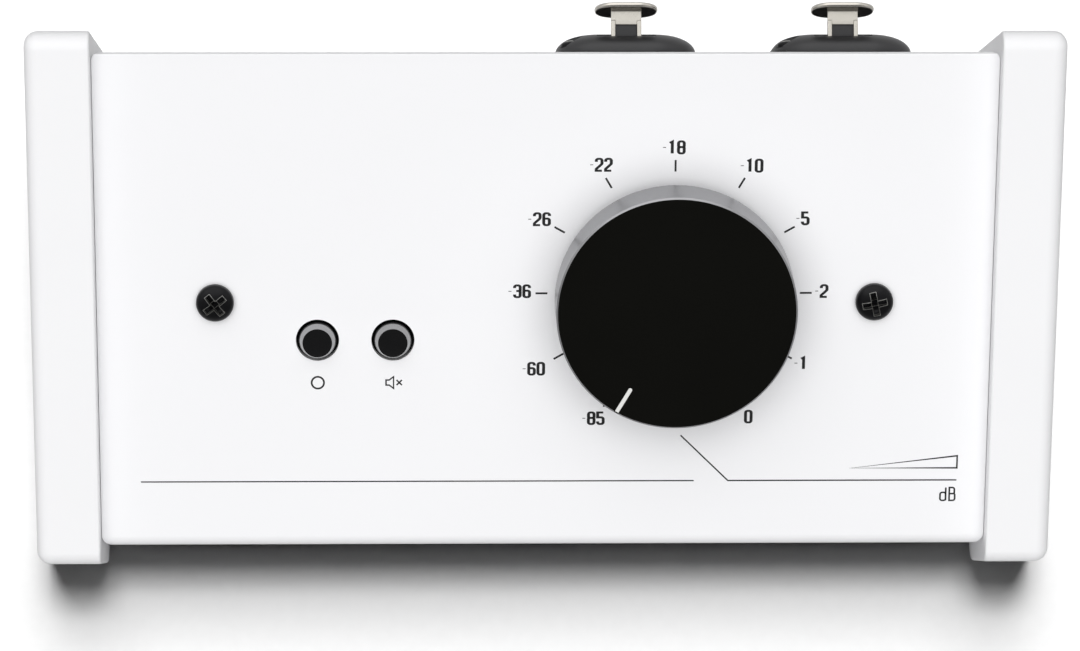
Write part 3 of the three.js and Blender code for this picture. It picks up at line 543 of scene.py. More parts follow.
# %% [markdown]
# ## Print
# A picture of the print would blur close up, and a font would bring its own shapes, so the print is
# drawn with a pen, as a thin raised layer of ink. Under the buttons stand a ring for mono and a
# crossed loudspeaker for mute. A long rule runs along the panel's front, a second one leads from the
# knob to the unit, and a wedge shows which way the sound grows.

# %% A pen, and the marks it draws
ink_top, ink_foot = 0.02, -0.01


def stroke(points, half, closed=False):
    """A line of ink along points. Half its width is given for upright and level strokes."""
    points = [point for index, point in enumerate(points)
              if (point - points[index - 1]).length > 1e-4]
    count = len(points)
    edges = []
    for index, point in enumerate(points):
        before = points[index - 1] if index or closed else 2 * point - points[1]
        after = points[(index + 1) % count] if index + 1 < count or closed else 2 * point - points[-2]
        one, two = (point - before).normalized(), (after - point).normalized()
        along = (one + two).normalized()
        normal = Vector((-along.y, along.x)) / max(along.dot(one), 0.5)
        offset = Vector((normal.x * half[0], normal.y * half[1]))
        edges.append((point + offset, point - offset))
    shape = bmesh.new()
    rings = [[shape.verts.new((*one, ink_top)), shape.verts.new((*two, ink_top)),
              shape.verts.new((*two, ink_foot)), shape.verts.new((*one, ink_foot))]
             for one, two in edges]
    pairs = list(zip(rings, rings[1:] + rings[:1])) if closed else list(zip(rings, rings[1:]))
    for first, second in pairs:
        for side in range(4):
            after = (side + 1) % 4
            shape.faces.new((first[side], first[after], second[after], second[side]))
    if not closed:
        shape.faces.new(rings[0])
        shape.faces.new(rings[-1][::-1])
    return closed_mesh(shape)


def ruled(points, half):
    """A line of one width."""
    return stroke([Vector(point) for point in points], (half, half))


mono_x, mute_x = middle_of("mono_button").x, middle_of("mute_button").x
mark_up, rule_up, rule_right, wedge_up = -15.8, -35.3, 77.5, -32.9
ring_half, ring_corner = 1.15, 1.149
ring = rounded(box_corners((mono_x - ring_half, mono_x + ring_half),
                           (mark_up - ring_half, mark_up + ring_half), ring_corner))
horn = [Vector((mute_x + x, mark_up + up)) for x, up in (
    (-1.3, -0.5), (-0.7, -0.5), (0.1, -1.15), (0.1, 1.15), (-0.7, 0.5), (-1.3, 0.5))]
wedge = [Vector(point) for point in ((57.5, wedge_up), (rule_right, wedge_up), (rule_right, -30.5))]
marks = [
    stroke(ring, (0.17, 0.17), True),
    stroke(horn, (0.14, 0.14), True),
    ruled([(mute_x + 0.65, mark_up - 0.5), (mute_x + 1.65, mark_up + 0.5)], 0.14),
    ruled([(mute_x + 0.65, mark_up + 0.5), (mute_x + 1.65, mark_up - 0.5)], 0.14),
    ruled([(-75.4, rule_up), (28.1, rule_up)], 0.12),
    ruled([(25.5, -26.3), (34.5, rule_up), (rule_right, rule_up)], 0.13),
    stroke(wedge, (0.15, 0.15), True),
]
print(len(marks), "strokes of ink, each", ink_top - ink_foot, "mm thick")

# %% [markdown]
# Each character is one or two centre-lines in a cell one wide and two high, with a radius at every
# corner. Upright strokes are a little wider than level ones, as on the real panel. The numbers stand
# round the knob, and all but the zero have a short faint minus before them, because they are losses.

# %% The characters
bend = 0.36
glyphs = {
    "0": [(True, [(0, 0, bend), (1, 0, bend), (1, 2, bend), (0, 2, bend)])],
    "1": [(False, [(0.1, 1.75, 0), (0.55, 2, 0), (0.55, 0, 0)])],
    "2": [(False, [(0, 1.5, 0), (0, 2, bend), (1, 2, bend), (1, 1.15, bend), (0, 0.3, 0.15),
                   (0, 0, 0), (1, 0, 0)])],
    "3": [(False, [(0, 1.55, 0), (0, 2, bend), (1, 2, bend), (1, 1.05, 0.2), (0.3, 1.05, 0)]),
          (False, [(0.3, 1.05, 0), (1, 1.05, 0.2), (1, 0, bend), (0, 0, bend), (0, 0.45, 0)])],
    "5": [(False, [(1, 2, 0), (0, 2, 0), (0, 1.15, 0), (1, 1.15, bend), (1, 0, bend),
                   (0, 0, bend), (0, 0.45, 0)])],
    "6": [(False, [(1, 1.55, 0), (1, 2, bend), (0, 2, bend), (0, 0, bend), (1, 0, bend),
                   (1, 1.1, bend), (0, 1.1, 0)])],
    "8": [(True, [(0, 0, bend), (1, 0, bend), (1, 1.05, 0.2), (0, 1.05, 0.2)]),
          (True, [(0, 1.05, 0.2), (1, 1.05, 0.2), (1, 2, bend), (0, 2, bend)])],
    "d": [(False, [(1, 2, 0), (1, 0, 0)]),
          (True, [(0, 0, bend), (1, 0, bend), (1, 1.25, bend), (0, 1.25, bend)])],
    "B": [(True, [(0, 0, 0), (1, 0, bend), (1, 1.05, 0.25), (0, 1.05, 0)]),
          (True, [(0, 1.05, 0), (0.9, 1.05, 0.25), (0.9, 2, bend), (0, 2, 0)])],
}
advance, cell_width = 1.72, 1.05


def lettering(text, x, up, half, tall):
    """Characters in a row, with the middle of the row at (x, up)."""
    start = x - (len(text) - 1) * advance / 2 - cell_width / 2
    rows = []
    for index, character in enumerate(text):
        for closed, corners in glyphs[character]:
            line = rounded([(start + index * advance + a * cell_width,
                             up + (b - 1) * cell_width * tall, radius * cell_width)
                            for a, b, radius in corners], steps=5)
            rows.append(stroke(line, half, closed))
    return rows


unit = lettering("dB", 75.9, -38.1, (0.16, 0.15), tall=1.22)
print(len(glyphs), "characters, and", len(unit), "strokes for the unit")

# %% [markdown]
# Many strokes make one piece of print. They stay separate bodies in one mesh, because ink that
# crosses ink needs no union.

# %% Lay the ink on the panel
numbers = [("85", -14.2, -24.45), ("60", -25.4, -14.7), ("36", -28.1, 0.4), ("26", -24.5, 14.3),
           ("22", -13.2, 24.7), ("18", 0.15, 28), ("10", 14.5, 24.5), ("5", 24.1, 14.4),
           ("2", 27.9, 0.35), ("1", 24.35, -13.7), ("0", 14.3, -24.2)]
number_pen = (0.28, 0.2)
minus_before, minus_length, minus_half = 1.65, 0.55, 0.065


def joined(meshes):
    """Several meshes as one."""
    shape = bmesh.new()
    for mesh in meshes:
        shape.from_mesh(mesh)
    whole = bpy.data.meshes.new("joined")
    shape.to_mesh(whole)
    shape.free()
    return whole


scale = []
for text, x, up in numbers:
    scale += lettering(text, x, up, number_pen, tall=1.08)
    if text != "0":
        left = x - (len(text) - 1) * advance / 2 - minus_before
        scale.append(ruled([(left, up), (left + minus_length, up)], minus_half))
add_piece("dial_numbers", joined(scale), ink, "chassis", matrix=on_dial)
add_piece("panel_marks", joined(marks + unit), ink, "chassis", matrix=on_panel)

# %% [markdown]
# ## Lines of the dial
# Eleven short lines stand round the knob, 30 degrees apart, from lower left to lower right. A loop
# could place them, but a Geometry Nodes tree keeps one shape and its sizes in one place. The tree
# gets named inputs first.

# %% A geometry tree with named inputs
def new_tree(name, inputs):
    """A tree with a geometry input, named inputs, and a geometry output."""
    tree = bpy.data.node_groups.new(name, "GeometryNodeTree")
    tree.interface.new_socket("Geometry", in_out="INPUT", socket_type="NodeSocketGeometry")
    tree.interface.new_socket("Geometry", in_out="OUTPUT", socket_type="NodeSocketGeometry")
    for label, kind in inputs.items():
        tree.interface.new_socket(label, in_out="INPUT", socket_type=f"NodeSocket{kind}")
    return tree, tree.nodes.new("NodeGroupInput").outputs


lines, source = new_tree("dial_lines", {
    "Lines": "Int", "First angle": "Float", "Step": "Float", "Inner radius": "Float",
    "Outer radius": "Float", "Width": "Float", "Finish": "Material"})
print("The tree for the dial has", len(lines.interface.items_tree), "sockets")

# %% [markdown]
# The tree makes points on a circle and lays a thin bar on each, turned to face the middle. It ends in
# Realize Instances and Set Material, because the export keeps only real geometry.

# %% A bar on each point of a circle
def maths(tree, operation, *values):
    """One calculation on sockets or constants."""
    return node(tree, "ShaderNodeMath", enumerate(values), operation=operation)


def vector(tree, *values):
    """Three sockets or constants as one vector."""
    return node(tree, "ShaderNodeCombineXYZ", enumerate(values))


def attribute(tree, name, kind="FLOAT"):
    """What a point carries under a name."""
    return node(tree, "GeometryNodeInputNamedAttribute", {"Name": name}, data_type=kind)


def finish_tree(tree, instances, finish):
    """Ends a tree: real geometry with its finish."""
    real = node(tree, "GeometryNodeRealizeInstances", {0: instances})
    painted = node(tree, "GeometryNodeSetMaterial", {"Geometry": real, "Material": finish})
    tree.links.new(painted, tree.nodes.new("NodeGroupOutput").inputs[0])


angle = maths(lines, "MULTIPLY_ADD", node(lines, "GeometryNodeInputIndex"), source["Step"],
              source["First angle"])
ends = maths(lines, "ADD", source["Inner radius"], source["Outer radius"])
reach = maths(lines, "MULTIPLY", ends, 0.5)
length = maths(lines, "SUBTRACT", source["Outer radius"], source["Inner radius"])
spot = vector(lines, maths(lines, "MULTIPLY", maths(lines, "SINE", angle), reach),
              maths(lines, "MULTIPLY", maths(lines, "COSINE", angle), reach), 0.005)
points = node(lines, "GeometryNodePoints", {"Count": source["Lines"], "Position": spot})
bar = node(lines, "GeometryNodeMeshCube", {"Size": vector(lines, source["Width"], length, 0.03)})
facing = node(lines, "FunctionNodeAxisAngleToRotation",
              {"Axis": (0, 0, -1), "Angle": attribute(lines, "angle")})
marked = node(lines, "GeometryNodeStoreNamedAttribute",
              {"Geometry": points, "Name": "angle", "Value": angle},
              data_type="FLOAT", domain="POINT")
bars = node(lines, "GeometryNodeInstanceOnPoints",
            {"Points": marked, "Instance": bar, "Rotation": facing})
finish_tree(lines, bars, source["Finish"])
print("The tree for the dial has", len(lines.nodes), "nodes")

# %% [markdown]
# A tree runs on a mesh that has only points, and each point carries a direction and a turn. The
# inputs are set by their sockets' identifiers before the object is first evaluated. What comes out
# is a plain mesh, and the modifier is removed.

# %% Grow the lines
def grown(tree, places, values):
    """The mesh a tree makes. Each place is a position, a direction and a turn in degrees."""
    mesh = bpy.data.meshes.new("places")
    mesh.from_pydata([place for place, _, _ in places], [], [])
    mesh.attributes.new("out", "FLOAT_VECTOR", "POINT")
    mesh.attributes.new("turn", "FLOAT", "POINT")
    for index, (_, direction, degrees) in enumerate(places):
        mesh.attributes["out"].data[index].vector = direction
        mesh.attributes["turn"].data[index].value = math.radians(degrees)
    item = bpy.data.objects.new("grown", mesh)
    bpy.context.scene.collection.objects.link(item)
    modifier = item.modifiers.new("tree", "NODES")
    modifier.node_group = tree
    for socket in tree.interface.items_tree:
        if socket.in_out == "INPUT" and socket.name in values:
            modifier[socket.identifier] = values[socket.name]
    result = evaluated(item)
    item.modifiers.remove(modifier)
    bpy.data.objects.remove(item)
    return result


ticks = grown(lines, [((0, 0, 0), (0, 0, 1), 0)], {
    "Lines": 11, "First angle": math.radians(210), "Step": math.radians(30), "Inner radius": 23.4,
    "Outer radius": 25.6, "Width": 0.36, "Finish": ink})
add_piece("dial_lines", ticks, ink, "chassis", matrix=on_dial)

# %% [markdown]
# ## Screws
# The real screws have a pan head: a low rim under a dome. A disc of many rings is lifted by a cosine
# and widened by a sine, which bends it into that dome.

# %% The head of a screw
screws, source = new_tree("pan_head_screws", {
    "Head radius": "Float", "Head height": "Float", "Shank radius": "Float",
    "Shank length": "Float", "Edges only": "Bool", "Finish": "Material"})


def parts_of(tree, place):
    """The three numbers of a vector, by their names."""
    return node(tree, "ShaderNodeSeparateXYZ", {0: place}).node.outputs


radius, height = source["Head radius"], source["Head height"]
disc = node(screws, "GeometryNodeMeshCylinder",
            {"Vertices": 48, "Fill Segments": 8, "Radius": radius, "Depth": height})
place = node(screws, "GeometryNodeInputPosition")
apart = parts_of(screws, place)
squares = [maths(screws, "POWER", apart[axis], 2) for axis in ("X", "Y")]
from_axis = maths(screws, "SQRT", maths(screws, "ADD", *squares))
quarter = maths(screws, "MULTIPLY", maths(screws, "DIVIDE", from_axis, radius), math.pi / 2)
arc = maths(screws, "MULTIPLY", maths(screws, "SINE", quarter), radius)
wider = maths(screws, "DIVIDE", arc, maths(screws, "MAXIMUM", from_axis, 1e-7))
rim = maths(screws, "MULTIPLY", height, 0.3)
rise = maths(screws, "MULTIPLY", maths(screws, "COSINE", quarter),
             maths(screws, "SUBTRACT", height, rim))
dome_z = maths(screws, "ADD", rim, rise)
is_top = maths(screws, "GREATER_THAN", apart["Z"], 0)
domed = node(screws, "GeometryNodeSetPosition", {
    "Geometry": disc,
    "Position": vector(screws, maths(screws, "MULTIPLY", apart["X"], wider),
                       maths(screws, "MULTIPLY", apart["Y"], wider),
                       maths(screws, "MULTIPLY", dome_z, is_top))})
print("The head takes", len(screws.nodes), "nodes")

# %% [markdown]
# The shank is joined to the head, and two crossed bars carve the recess. Mesh Boolean takes several
# meshes on one socket, so the second one is linked after the node is made.

# %% Its shank and its cross recess
shank = node(screws, "GeometryNodeMeshCylinder", {
    "Vertices": 24, "Radius": source["Shank radius"], "Depth": source["Shank length"]})
sunk = maths(screws, "MULTIPLY", maths(screws, "SUBTRACT", source["Shank length"], 1e-4), -0.5)
shank = node(screws, "GeometryNodeTransform",
             {"Geometry": shank, "Translation": vector(screws, 0, 0, sunk)})
whole = node(screws, "GeometryNodeMeshBoolean", {1: domed}, operation="UNION")
feed(screws, whole.node, {1: shank})
bars = []
for spans in ((0.34, 1.3), (1.3, 0.34)):
    size = vector(screws, *(maths(screws, "MULTIPLY", radius, span) for span in spans), height)
    bar = node(screws, "GeometryNodeMeshCube", {"Size": size})
    lift = vector(screws, 0, 0, maths(screws, "MULTIPLY", height, 0.95))
    bars.append(node(screws, "GeometryNodeTransform", {"Geometry": bar, "Translation": lift}))
carved = node(screws, "GeometryNodeMeshBoolean", {0: whole, 1: bars[0]}, operation="DIFFERENCE")
feed(screws, carved.node, {1: bars[1]})
print("Head, shank and recess take", len(screws.nodes), "nodes")

# %% [markdown]
# Black zinc wears off the sharp edges of the recess first, and the bright metal there also stands in
# as a painted highlight. The same tree can give those edges alone, as hair-thin wires: a Selection by
# their angle turns them into curves. Whatever the tree gives is then stood on each point.

# %% Its worn edges with a painted highlight, and a copy on each point
def stand_on_points(tree, source, body):
    """Stands a body on each point, along the point's own direction."""
    out = attribute(tree, "out", "FLOAT_VECTOR")
    turn = attribute(tree, "turn")
    aligned = node(tree, "FunctionNodeAlignRotationToVector", {"Vector": out}, axis="Z")
    spin = node(tree, "FunctionNodeAxisAngleToRotation", {"Axis": (0, 0, 1), "Angle": turn})
    both = node(tree, "FunctionNodeRotateRotation", {"Rotation": aligned, "Rotate By": spin},
                rotation_space="LOCAL")
    copies = node(tree, "GeometryNodeInstanceOnPoints",
                  {"Points": source["Geometry"], "Instance": body, "Rotation": both})
    finish_tree(tree, copies, source["Finish"])


on_top = maths(screws, "GREATER_THAN", parts_of(screws, place)["Z"],
               maths(screws, "MULTIPLY", height, 0.34))
sharp = maths(screws, "GREATER_THAN", node(screws, "GeometryNodeInputMeshEdgeAngle"),
              math.radians(40))
worn_and_highlight_lines = node(screws, "GeometryNodeMeshToCurve",
                  {"Mesh": carved, "Selection": maths(screws, "MULTIPLY", on_top, sharp)})
thread = node(screws, "GeometryNodeCurvePrimitiveCircle", {"Resolution": 6, "Radius": 0.06 * MM})
worn_and_highlight_wires = node(screws, "GeometryNodeCurveToMesh",
            {"Curve": worn_and_highlight_lines, "Profile Curve": thread, "Fill Caps": True})
shown = node(screws, "GeometryNodeSwitch",
             {"Switch": source["Edges only"], "False": carved, "True": worn_and_highlight_wires},
             input_type="GEOMETRY")
stand_on_points(screws, source, shown)
print("The whole screw takes", len(screws.nodes), "nodes")

# %% [markdown]
# Two screws hold the panel, and two more come up from below into its flange. Nobody lines screws up
# by hand, so each stands at a turn of its own.

# %% Screws of the panel and the base
def screw_set(name, nodes, places, radius, height, shank_radius, shank_length):
    """Screws of one size, in place of their CAD nodes."""
    values = {"Head radius": radius * MM, "Head height": height * MM,
              "Shank radius": shank_radius * MM, "Shank length": shank_length * MM}
    in_metres = Matrix.Identity(4)
    heads = grown(screws, places, {**values, "Edges only": False, "Finish": black_zinc})
    add_piece(name, heads, black_zinc, "chassis", nodes, in_metres)
    edges = grown(screws, places, {**values, "Edges only": True, "Finish": worn_edge_and_highlight})
    add_piece(f"{name}_edges", edges, worn_edge_and_highlight, "chassis", matrix=in_metres)


seat = 0.3
panel_screws = ["panel_screw_left", "panel_screw_right"]
screw_set("panel_screws", panel_screws, [
    (on_panel @ Vector((middle_of(name).x, 0, seat)), outward, turn)
    for name, turn in zip(panel_screws, (38, 12))],
    radius=3.5, height=2.4, shank_radius=1.75, shank_length=7)
base_screws = ["base_screw_left", "base_screw_right"]
screw_set("base_screws", base_screws, [
    (Vector((middle_of(name).x, middle_of(name).y, case_low.z - seat)) * MM, (0, 0, -1), turn)
    for name, turn in zip(base_screws, (20, 65))],
    radius=2.8, height=2, shank_radius=1.5, shank_length=4)

# %% [markdown]
# ## Knob
# The real knob is turned from one bar: a black face with a fine chamfer, a bare side, and a hollow
# underneath with a hub for its brass insert. One profile gives all of that. A groove for the pointer
# runs over the edge, and a small hole in the side takes the grub screw.

# %% The turned cap
knob_top, knob_radius, knob_edge = 13, 22.1, 0.3
hub_bore, hub_radius, shell_inner = 5.4, 9, 17.2
at_rest = Matrix.Rotation(math.radians(-30), 4, "Z")
profile = [(0, 11.5), (hub_bore, 11.5), (hub_bore, 3.9), (hub_radius, 3.9), (hub_radius, 10),
           (shell_inner, 10), (shell_inner, 2.5), (20.45, 2.5), (20.6, 2.6), (22.05, 4.55),
           (22.19, 4.85), (knob_radius, knob_top - knob_edge), (knob_radius - knob_edge, knob_top),
           (0, knob_top)]


def finish_faces(piece, material, chosen):
    """Gives a piece a second finish on the faces that are chosen with a one."""
    piece.data.materials.append(material)
    for face, index in zip(piece.data.polygons, chosen):
        face.material_index = index


groove = slab(rounded([(-0.4, -24, 0), (0.4, -24, 0), (0.4, -16.45, 0.39), (-0.4, -16.45, 0.39)]),
              knob_top - 0.42, knob_top + 2)
grub_place = Matrix.Translation((0, 0, 7.6)) @ Matrix.Rotation(math.pi / 2, 4, "X")
grub_hole = placed(cylinder(1.7, 0, 26, 24), grub_place)
cap = placed(worked(turned(profile, 192), [groove, grub_hole]), at_rest)
bare = [int(abs(face.normal.z) < 0.9 and Vector(face.center[:2]).length > 20)
        for face in cap.polygons]
knob = add_piece("knob_turned_cap", cap, anodised, "knob", ["knob_cap"], on_dial)
finish_faces(knob, turned_side, bare)

# %% [markdown]
# The pointer is white paint filled into the groove, level with the face. It is a thin slab of its
# own, a little narrower than the groove, so that the groove's edge still shows round it.

# %% The white pointer
line = slab(rounded([(-0.37, -21.75, 0.1), (0.37, -21.75, 0.1), (0.37, -16.5, 0.36),
                     (-0.37, -16.5, 0.36)]), knob_top - 0.36, knob_top, round_top=0.06)
add_piece("knob_line", placed(line, at_rest), white_line, "knob",
          ["knob_pointer"], on_dial)

# %% [markdown]
# ## Push buttons
# Each cap is a polished cylinder with a deep bevel round a slightly hollow face, and it is turned
# from a profile too. Under soft light from above the bevel looks grey and the face black, so the
# bevel's faces get a grey metal finish of their own, which is a painted reflection on black plastic.

# %% Two button caps
button_foot, button_top, face_radius = -3.3, 1.9, 2.74
cap_radius, bevel_drop = 3.45, 1.65
hollow = [(face_radius * step / 8, button_top - 0.16 * (1 - (step / 8) ** 2)) for step in range(9)]
bevel_arc = [(cap_radius - (cap_radius - face_radius) * math.sin(angle),
              button_top - bevel_drop * (1 - math.sin(angle) ** 0.8))
             for angle in (math.pi / 2 * step / 8 for step in range(8, -1, -1))]
foot = [(0, button_foot), (3.3, button_foot), (cap_radius, button_foot + 0.15)]
for name in ("mono", "mute"):
    shape = turned(foot + bevel_arc[::-1] + hollow[::-1])
    # The bevel's faces, which get the painted highlight.
    painted_highlight_faces = [int(face_radius < Vector(face.center[:2]).length
                  and face.center.z > button_top - bevel_drop) for face in shape.polygons]
    here = on_panel @ Matrix.Translation((middle_of(f"{name}_button").x, button_up, 0))
    button = add_piece(f"{name}_button_cap", shape, gloss_black, f"{name}_key",
                       [f"{name}_button"], here)
    finish_faces(button, painted_bevel_highlight, painted_highlight_faces)

# %% [markdown]
# ## Connectors
# The combination connector is the piece with the most shapes: a flange like a pillow, a deep round
# cavity, two sunk screws, and a slot for its latch. The flange's edge is wide and low, so it is
# rounded by a reach and a drop. The rest is joined and carved.

# %% The housing of a connector
flange_face, flange_half, flange_corner = 4.3, (13, 15.5), 8.5
pillow_edge = (6.5, 3.4)
cavity_radius, jack_bore = 9.45, 3.3
latch_axis, latch_half, latch_wall = 10.6, 2.8, 0.8
flange_screw, sunk_seat = 9.998, 1.7


def block(x, y, z):
    """A box between three pairs of values."""
    corners = [Vector(corner[:2]) for corner in box_corners(x, y)]
    return skinned([[Vector((*corner, height)) for corner in corners] for height in z])


def housing_mesh():
    """The black housing with its flange."""
    x, z = flange_half
    outline = rounded(box_corners((-x, x), (-z, z), flange_corner), steps=12)
    plate = slab(outline, seat, flange_face, round_top=pillow_edge, round_bottom=0.3, steps=14)
    barrel, tail = cylinder(11.8, -12, 1, 96), cylinder(9.4, -24, -11, 72)
    whole = worked(plate, [barrel, tail], operation="UNION")
    slot = block((-latch_half - seat, latch_half + seat), (9.5, 12.1), (1, 8))
    notch = block((-5.45, 5.45), (latch_axis - 1, z + 2), (flange_face - 0.6, 8))
    screw_hole = [(0, -2), (1.4, -2), (1.4, sunk_seat), (2.15, sunk_seat), (2.15, 8), (0, 8)]
    holes = [placed(turned(screw_hole, 48),
                    Matrix.Translation((side * flange_screw, side * flange_screw, 0)))
             for side in (-1, 1)]
    cavity, bore = cylinder(cavity_radius, -10.2, 8, 96), cylinder(jack_bore, -22.7, 8, 64)
    return worked(whole, [cavity, bore, slot, notch, *holes], bevel=0.15)


housings = {side: housing_mesh() for side in ("left", "right")}
print("A flange is", 2 * flange_half[0], "by", 2 * flange_half[1], "mm, and its housing has",
      len(housings["left"].polygons), "faces")

# %% [markdown]
# The insert is a round core with the jack's bore in its middle. Three smaller holes stand evenly
# round the bore, and they take the pins of the larger plug. Both connectors are drawn as seen from
# behind, and one matrix for each stands them on the rear wall.

# %% Inserts, and both connectors with their screws
contact_circle, contact_hole = 5.4, 1.4
rear_wall_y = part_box("base_tray")[1].y


def insert_mesh():
    """The core inside the cavity."""
    holes = [placed(cylinder(contact_hole, -4.7, 8, 32), Matrix.Translation((
        contact_circle * math.cos(angle), contact_circle * math.sin(angle), 0)))
        for angle in (math.pi / 2 + math.tau * step / 3 for step in range(3))]
    core = slab(rounded(box_corners((-7.4, 7.4), (-7.4, 7.4), 7.39), 16), -9.9, flange_face - 1,
                round_top=0.5)
    return worked(core, [cylinder(jack_bore, -12, 8, 64), *holes], bevel=0.12)


def on_rear(node_name):
    """Drawn as seen from behind: X to the viewer's right, Y up, Z out of the wall, at a CAD node."""
    centre = middle_of(node_name) * MM
    right, up, out = Vector((-1, 0, 0)), Vector((0, 0, 1)), Vector((0, 1, 0))
    return frame_at(Vector((centre.x, rear_wall_y, centre.z)), right, up, out)


for side, housing in housings.items():
    here = on_rear(f"combo_housing_{side}")
    add_piece(f"connector_housing_{side}", housing, moulded, "chassis",
              [f"combo_housing_{side}"], here)
    add_piece(f"connector_insert_{side}", insert_mesh(), moulded, "chassis",
              [f"combo_insert_{side}"], here)
    names = [f"combo_screw_{side}_{level}" for level in ("upper", "lower")]
    screw_set(f"connector_screws_{side}", names, [
        (here @ Vector((turn * flange_screw, turn * flange_screw, sunk_seat + 0.1)), (0, 1, 0),
         30 * turn) for turn in (1, -1)],
        radius=2.1, height=1.25, shank_radius=1.2, shank_length=5)

# %% [markdown]
# ## Release latches
# The latch is one strip of nickel-plated steel: a channel with two upright folds runs in the slot,
# the stem steps up, and an oval pad for the thumb ends it. Blocks joined with a union and a small
# bevel look like a folded strip. The pad leans and has a shallow dish, and a black slide fills the
# channel.

# %% Two latches
latch_start, latch_step = flange_face - 1.2, flange_face + 2.4
pad_back, pad_lean = flange_face + 4.4, 0.15


def latch_mesh():
    """The folded strip with its thumb pad."""
    low, top = latch_axis - latch_wall, latch_axis + 0.9
    width, run, riser = (-latch_half, latch_half), (latch_start, latch_step), latch_step - latch_wall
    extra = [block(span, (low, low + 2), run)
             for span in ((-latch_half, latch_wall - latch_half),
                          (latch_half - latch_wall, latch_half))]
    extra.append(block(width, (low, top), (riser, latch_step)))
    extra.append(block(width, (top - latch_wall, top), (riser, pad_back)))
    channel = worked(block(width, (low, latch_axis), run), extra, operation="UNION")
    strip = worked(channel, bevel=0.22, segments=3)
    oval = rounded(box_corners((-5.8, 5.8), (-4.3, 4.3), 3.9), steps=14)
    thumb = slab(oval, 0, 1, round_top=0.45, round_bottom=0.45)
    dish = placed(turned([(0, 0.7), (2, 0.74), (3.6, 0.86), (4.7, 1.05), (4.7, 2), (0, 2)]),
                  Matrix.Diagonal((1, 0.72, 1, 1)))
    leaning = Matrix.Translation((0, latch_axis, pad_back - 0.5)) @ Matrix.Rotation(pad_lean, 4, "X")
    padded = worked(strip, [placed(thumb, leaning)], operation="UNION")
    return worked(padded, [placed(dish, leaning)])


for side in ("left", "right"):
    here = on_rear(f"combo_housing_{side}")
    add_piece(f"connector_latch_{side}", latch_mesh(), nickel, f"{side}_latch",
              [f"combo_latch_{side}"], here, crease=40)
    slide = block((latch_wall - latch_half, latch_half - latch_wall),
                  (latch_axis - 0.01, latch_axis + 0.5), (latch_start, latch_step - latch_wall))
    add_piece(f"latch_slide_{side}", worked(slide, bevel=0.08), moulded, f"{side}_latch",
              matrix=here)

# %% [markdown]
# ## Jack nuts
# A hexagon nut has a chamfer on its corners, because its end is turned. The same happens here: a
# turned body with a cone at its end limits a plain hexagon.

# %% Nuts with chamfered corners
def nut_mesh(radius, height, hole):
    """A hexagon nut with a round hole."""
    corners = [Vector((radius * math.cos(angle), radius * math.sin(angle)))
               for angle in (math.tau * step / 6 for step in range(6))]
    limit = turned([(0, seat - 0.1), (radius + 0.2, seat - 0.1), (radius + 0.2, seat + height - 0.75),
                    (radius - 0.9, seat + height + 0.05), (0, seat + height + 0.05)])
    body = worked(slab(corners, seat, seat + height), [limit], operation="INTERSECT")
    return worked(body, [cylinder(hole, -2, 8, 48)], bevel=0.1)


large_nut, small_nut = (7, 2, 4.8), (4.6, 1.5, 3.1)
for name, sizes in (("output_jack_left", large_nut), ("output_jack_right", large_nut),
                    ("aux_jack", small_nut)):
    add_piece(f"{name}_hex_nut", nut_mesh(*sizes), nickel, "chassis", [f"{name}_nut"],
              on_rear(f"{name}_nut"))

# %% [markdown]
# ## Feet
# Four round rubber pads lift the cheeks off the table. They are the same pad four times, so a short
# tree stands them on points, and a bevel softens their edges.

# %% Rubber feet
feet, source = new_tree("rubber_feet", {"Radius": "Float", "Height": "Float", "Finish": "Material"})
round_foot = node(feet, "GeometryNodeMeshCylinder",
                  {"Vertices": 64, "Radius": source["Radius"], "Depth": source["Height"]})
stand_on_points(feet, source, round_foot)
foot_names = [f"foot_pad_{end}_{side}" for end in ("front", "rear") for side in ("left", "right")]
foot_places = [(middle_of(name) * MM, (0, 0, 1), 0) for name in foot_names]
low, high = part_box(foot_names[0])
foot_mesh = grown(feet, foot_places, {"Radius": 4.5 * MM, "Height": high.z - low.z, "Finish": rubber})
foot_mesh = worked(placed(foot_mesh, Matrix.Scale(1 / MM, 4)), bevel=0.3, segments=4)
add_piece("rubber_feet", foot_mesh, rubber, "chassis", foot_names)

# %% [markdown]
# ## The paper
# The photo was taken from almost straight above on plain white paper. A plain diffuse floor turns
# grey under gentle lamps. So the camera sees a second layer of paper added to the first, which
# brightens it and still takes the shadow, and the object sees the first layer alone.

# %% White paper that keeps a shadow
paper_low, paper_high, paper_lift = 0.44, 0.48, 0.34
floor_half = 6000


def seen_by(tree, *kinds):
    """One for rays of these kinds, and zero for all others."""
    rays = node(tree, "ShaderNodeLightPath").node.outputs
    total = rays[kinds[0]]
    for kind in kinds[1:]:
        total = maths(tree, "MAXIMUM", total, rays[kind])
    return total


def white_paper():
    """A diffuse paper that is brighter to the camera than to the object."""
    material = bpy.data.materials.new("white paper")
    material.use_nodes = True
    tree = material.node_tree
    tree.nodes.remove(tree.nodes["Principled BSDF"])
    place = node(tree, "ShaderNodeTexCoord", output="Object")
    fibre = node(tree, "ShaderNodeTexNoise", {"Vector": place, "Scale": 400}, "Fac")
    tint = mixed(tree, fibre, 3 * [paper_low], 3 * [paper_high])
    paper = node(tree, "ShaderNodeBsdfDiffuse", {"Color": tint})
    lift = node(tree, "ShaderNodeBsdfDiffuse", {"Color": (paper_lift, paper_lift, paper_lift, 1)})
    both = node(tree, "ShaderNodeAddShader", {0: paper, 1: lift})
    to_camera = seen_by(tree, "Is Camera Ray", "Is Transmission Ray")
    choice = node(tree, "ShaderNodeMixShader", {0: to_camera, 1: paper, 2: both})
    feed(tree, tree.nodes["Material Output"], {"Surface": choice})
    return material


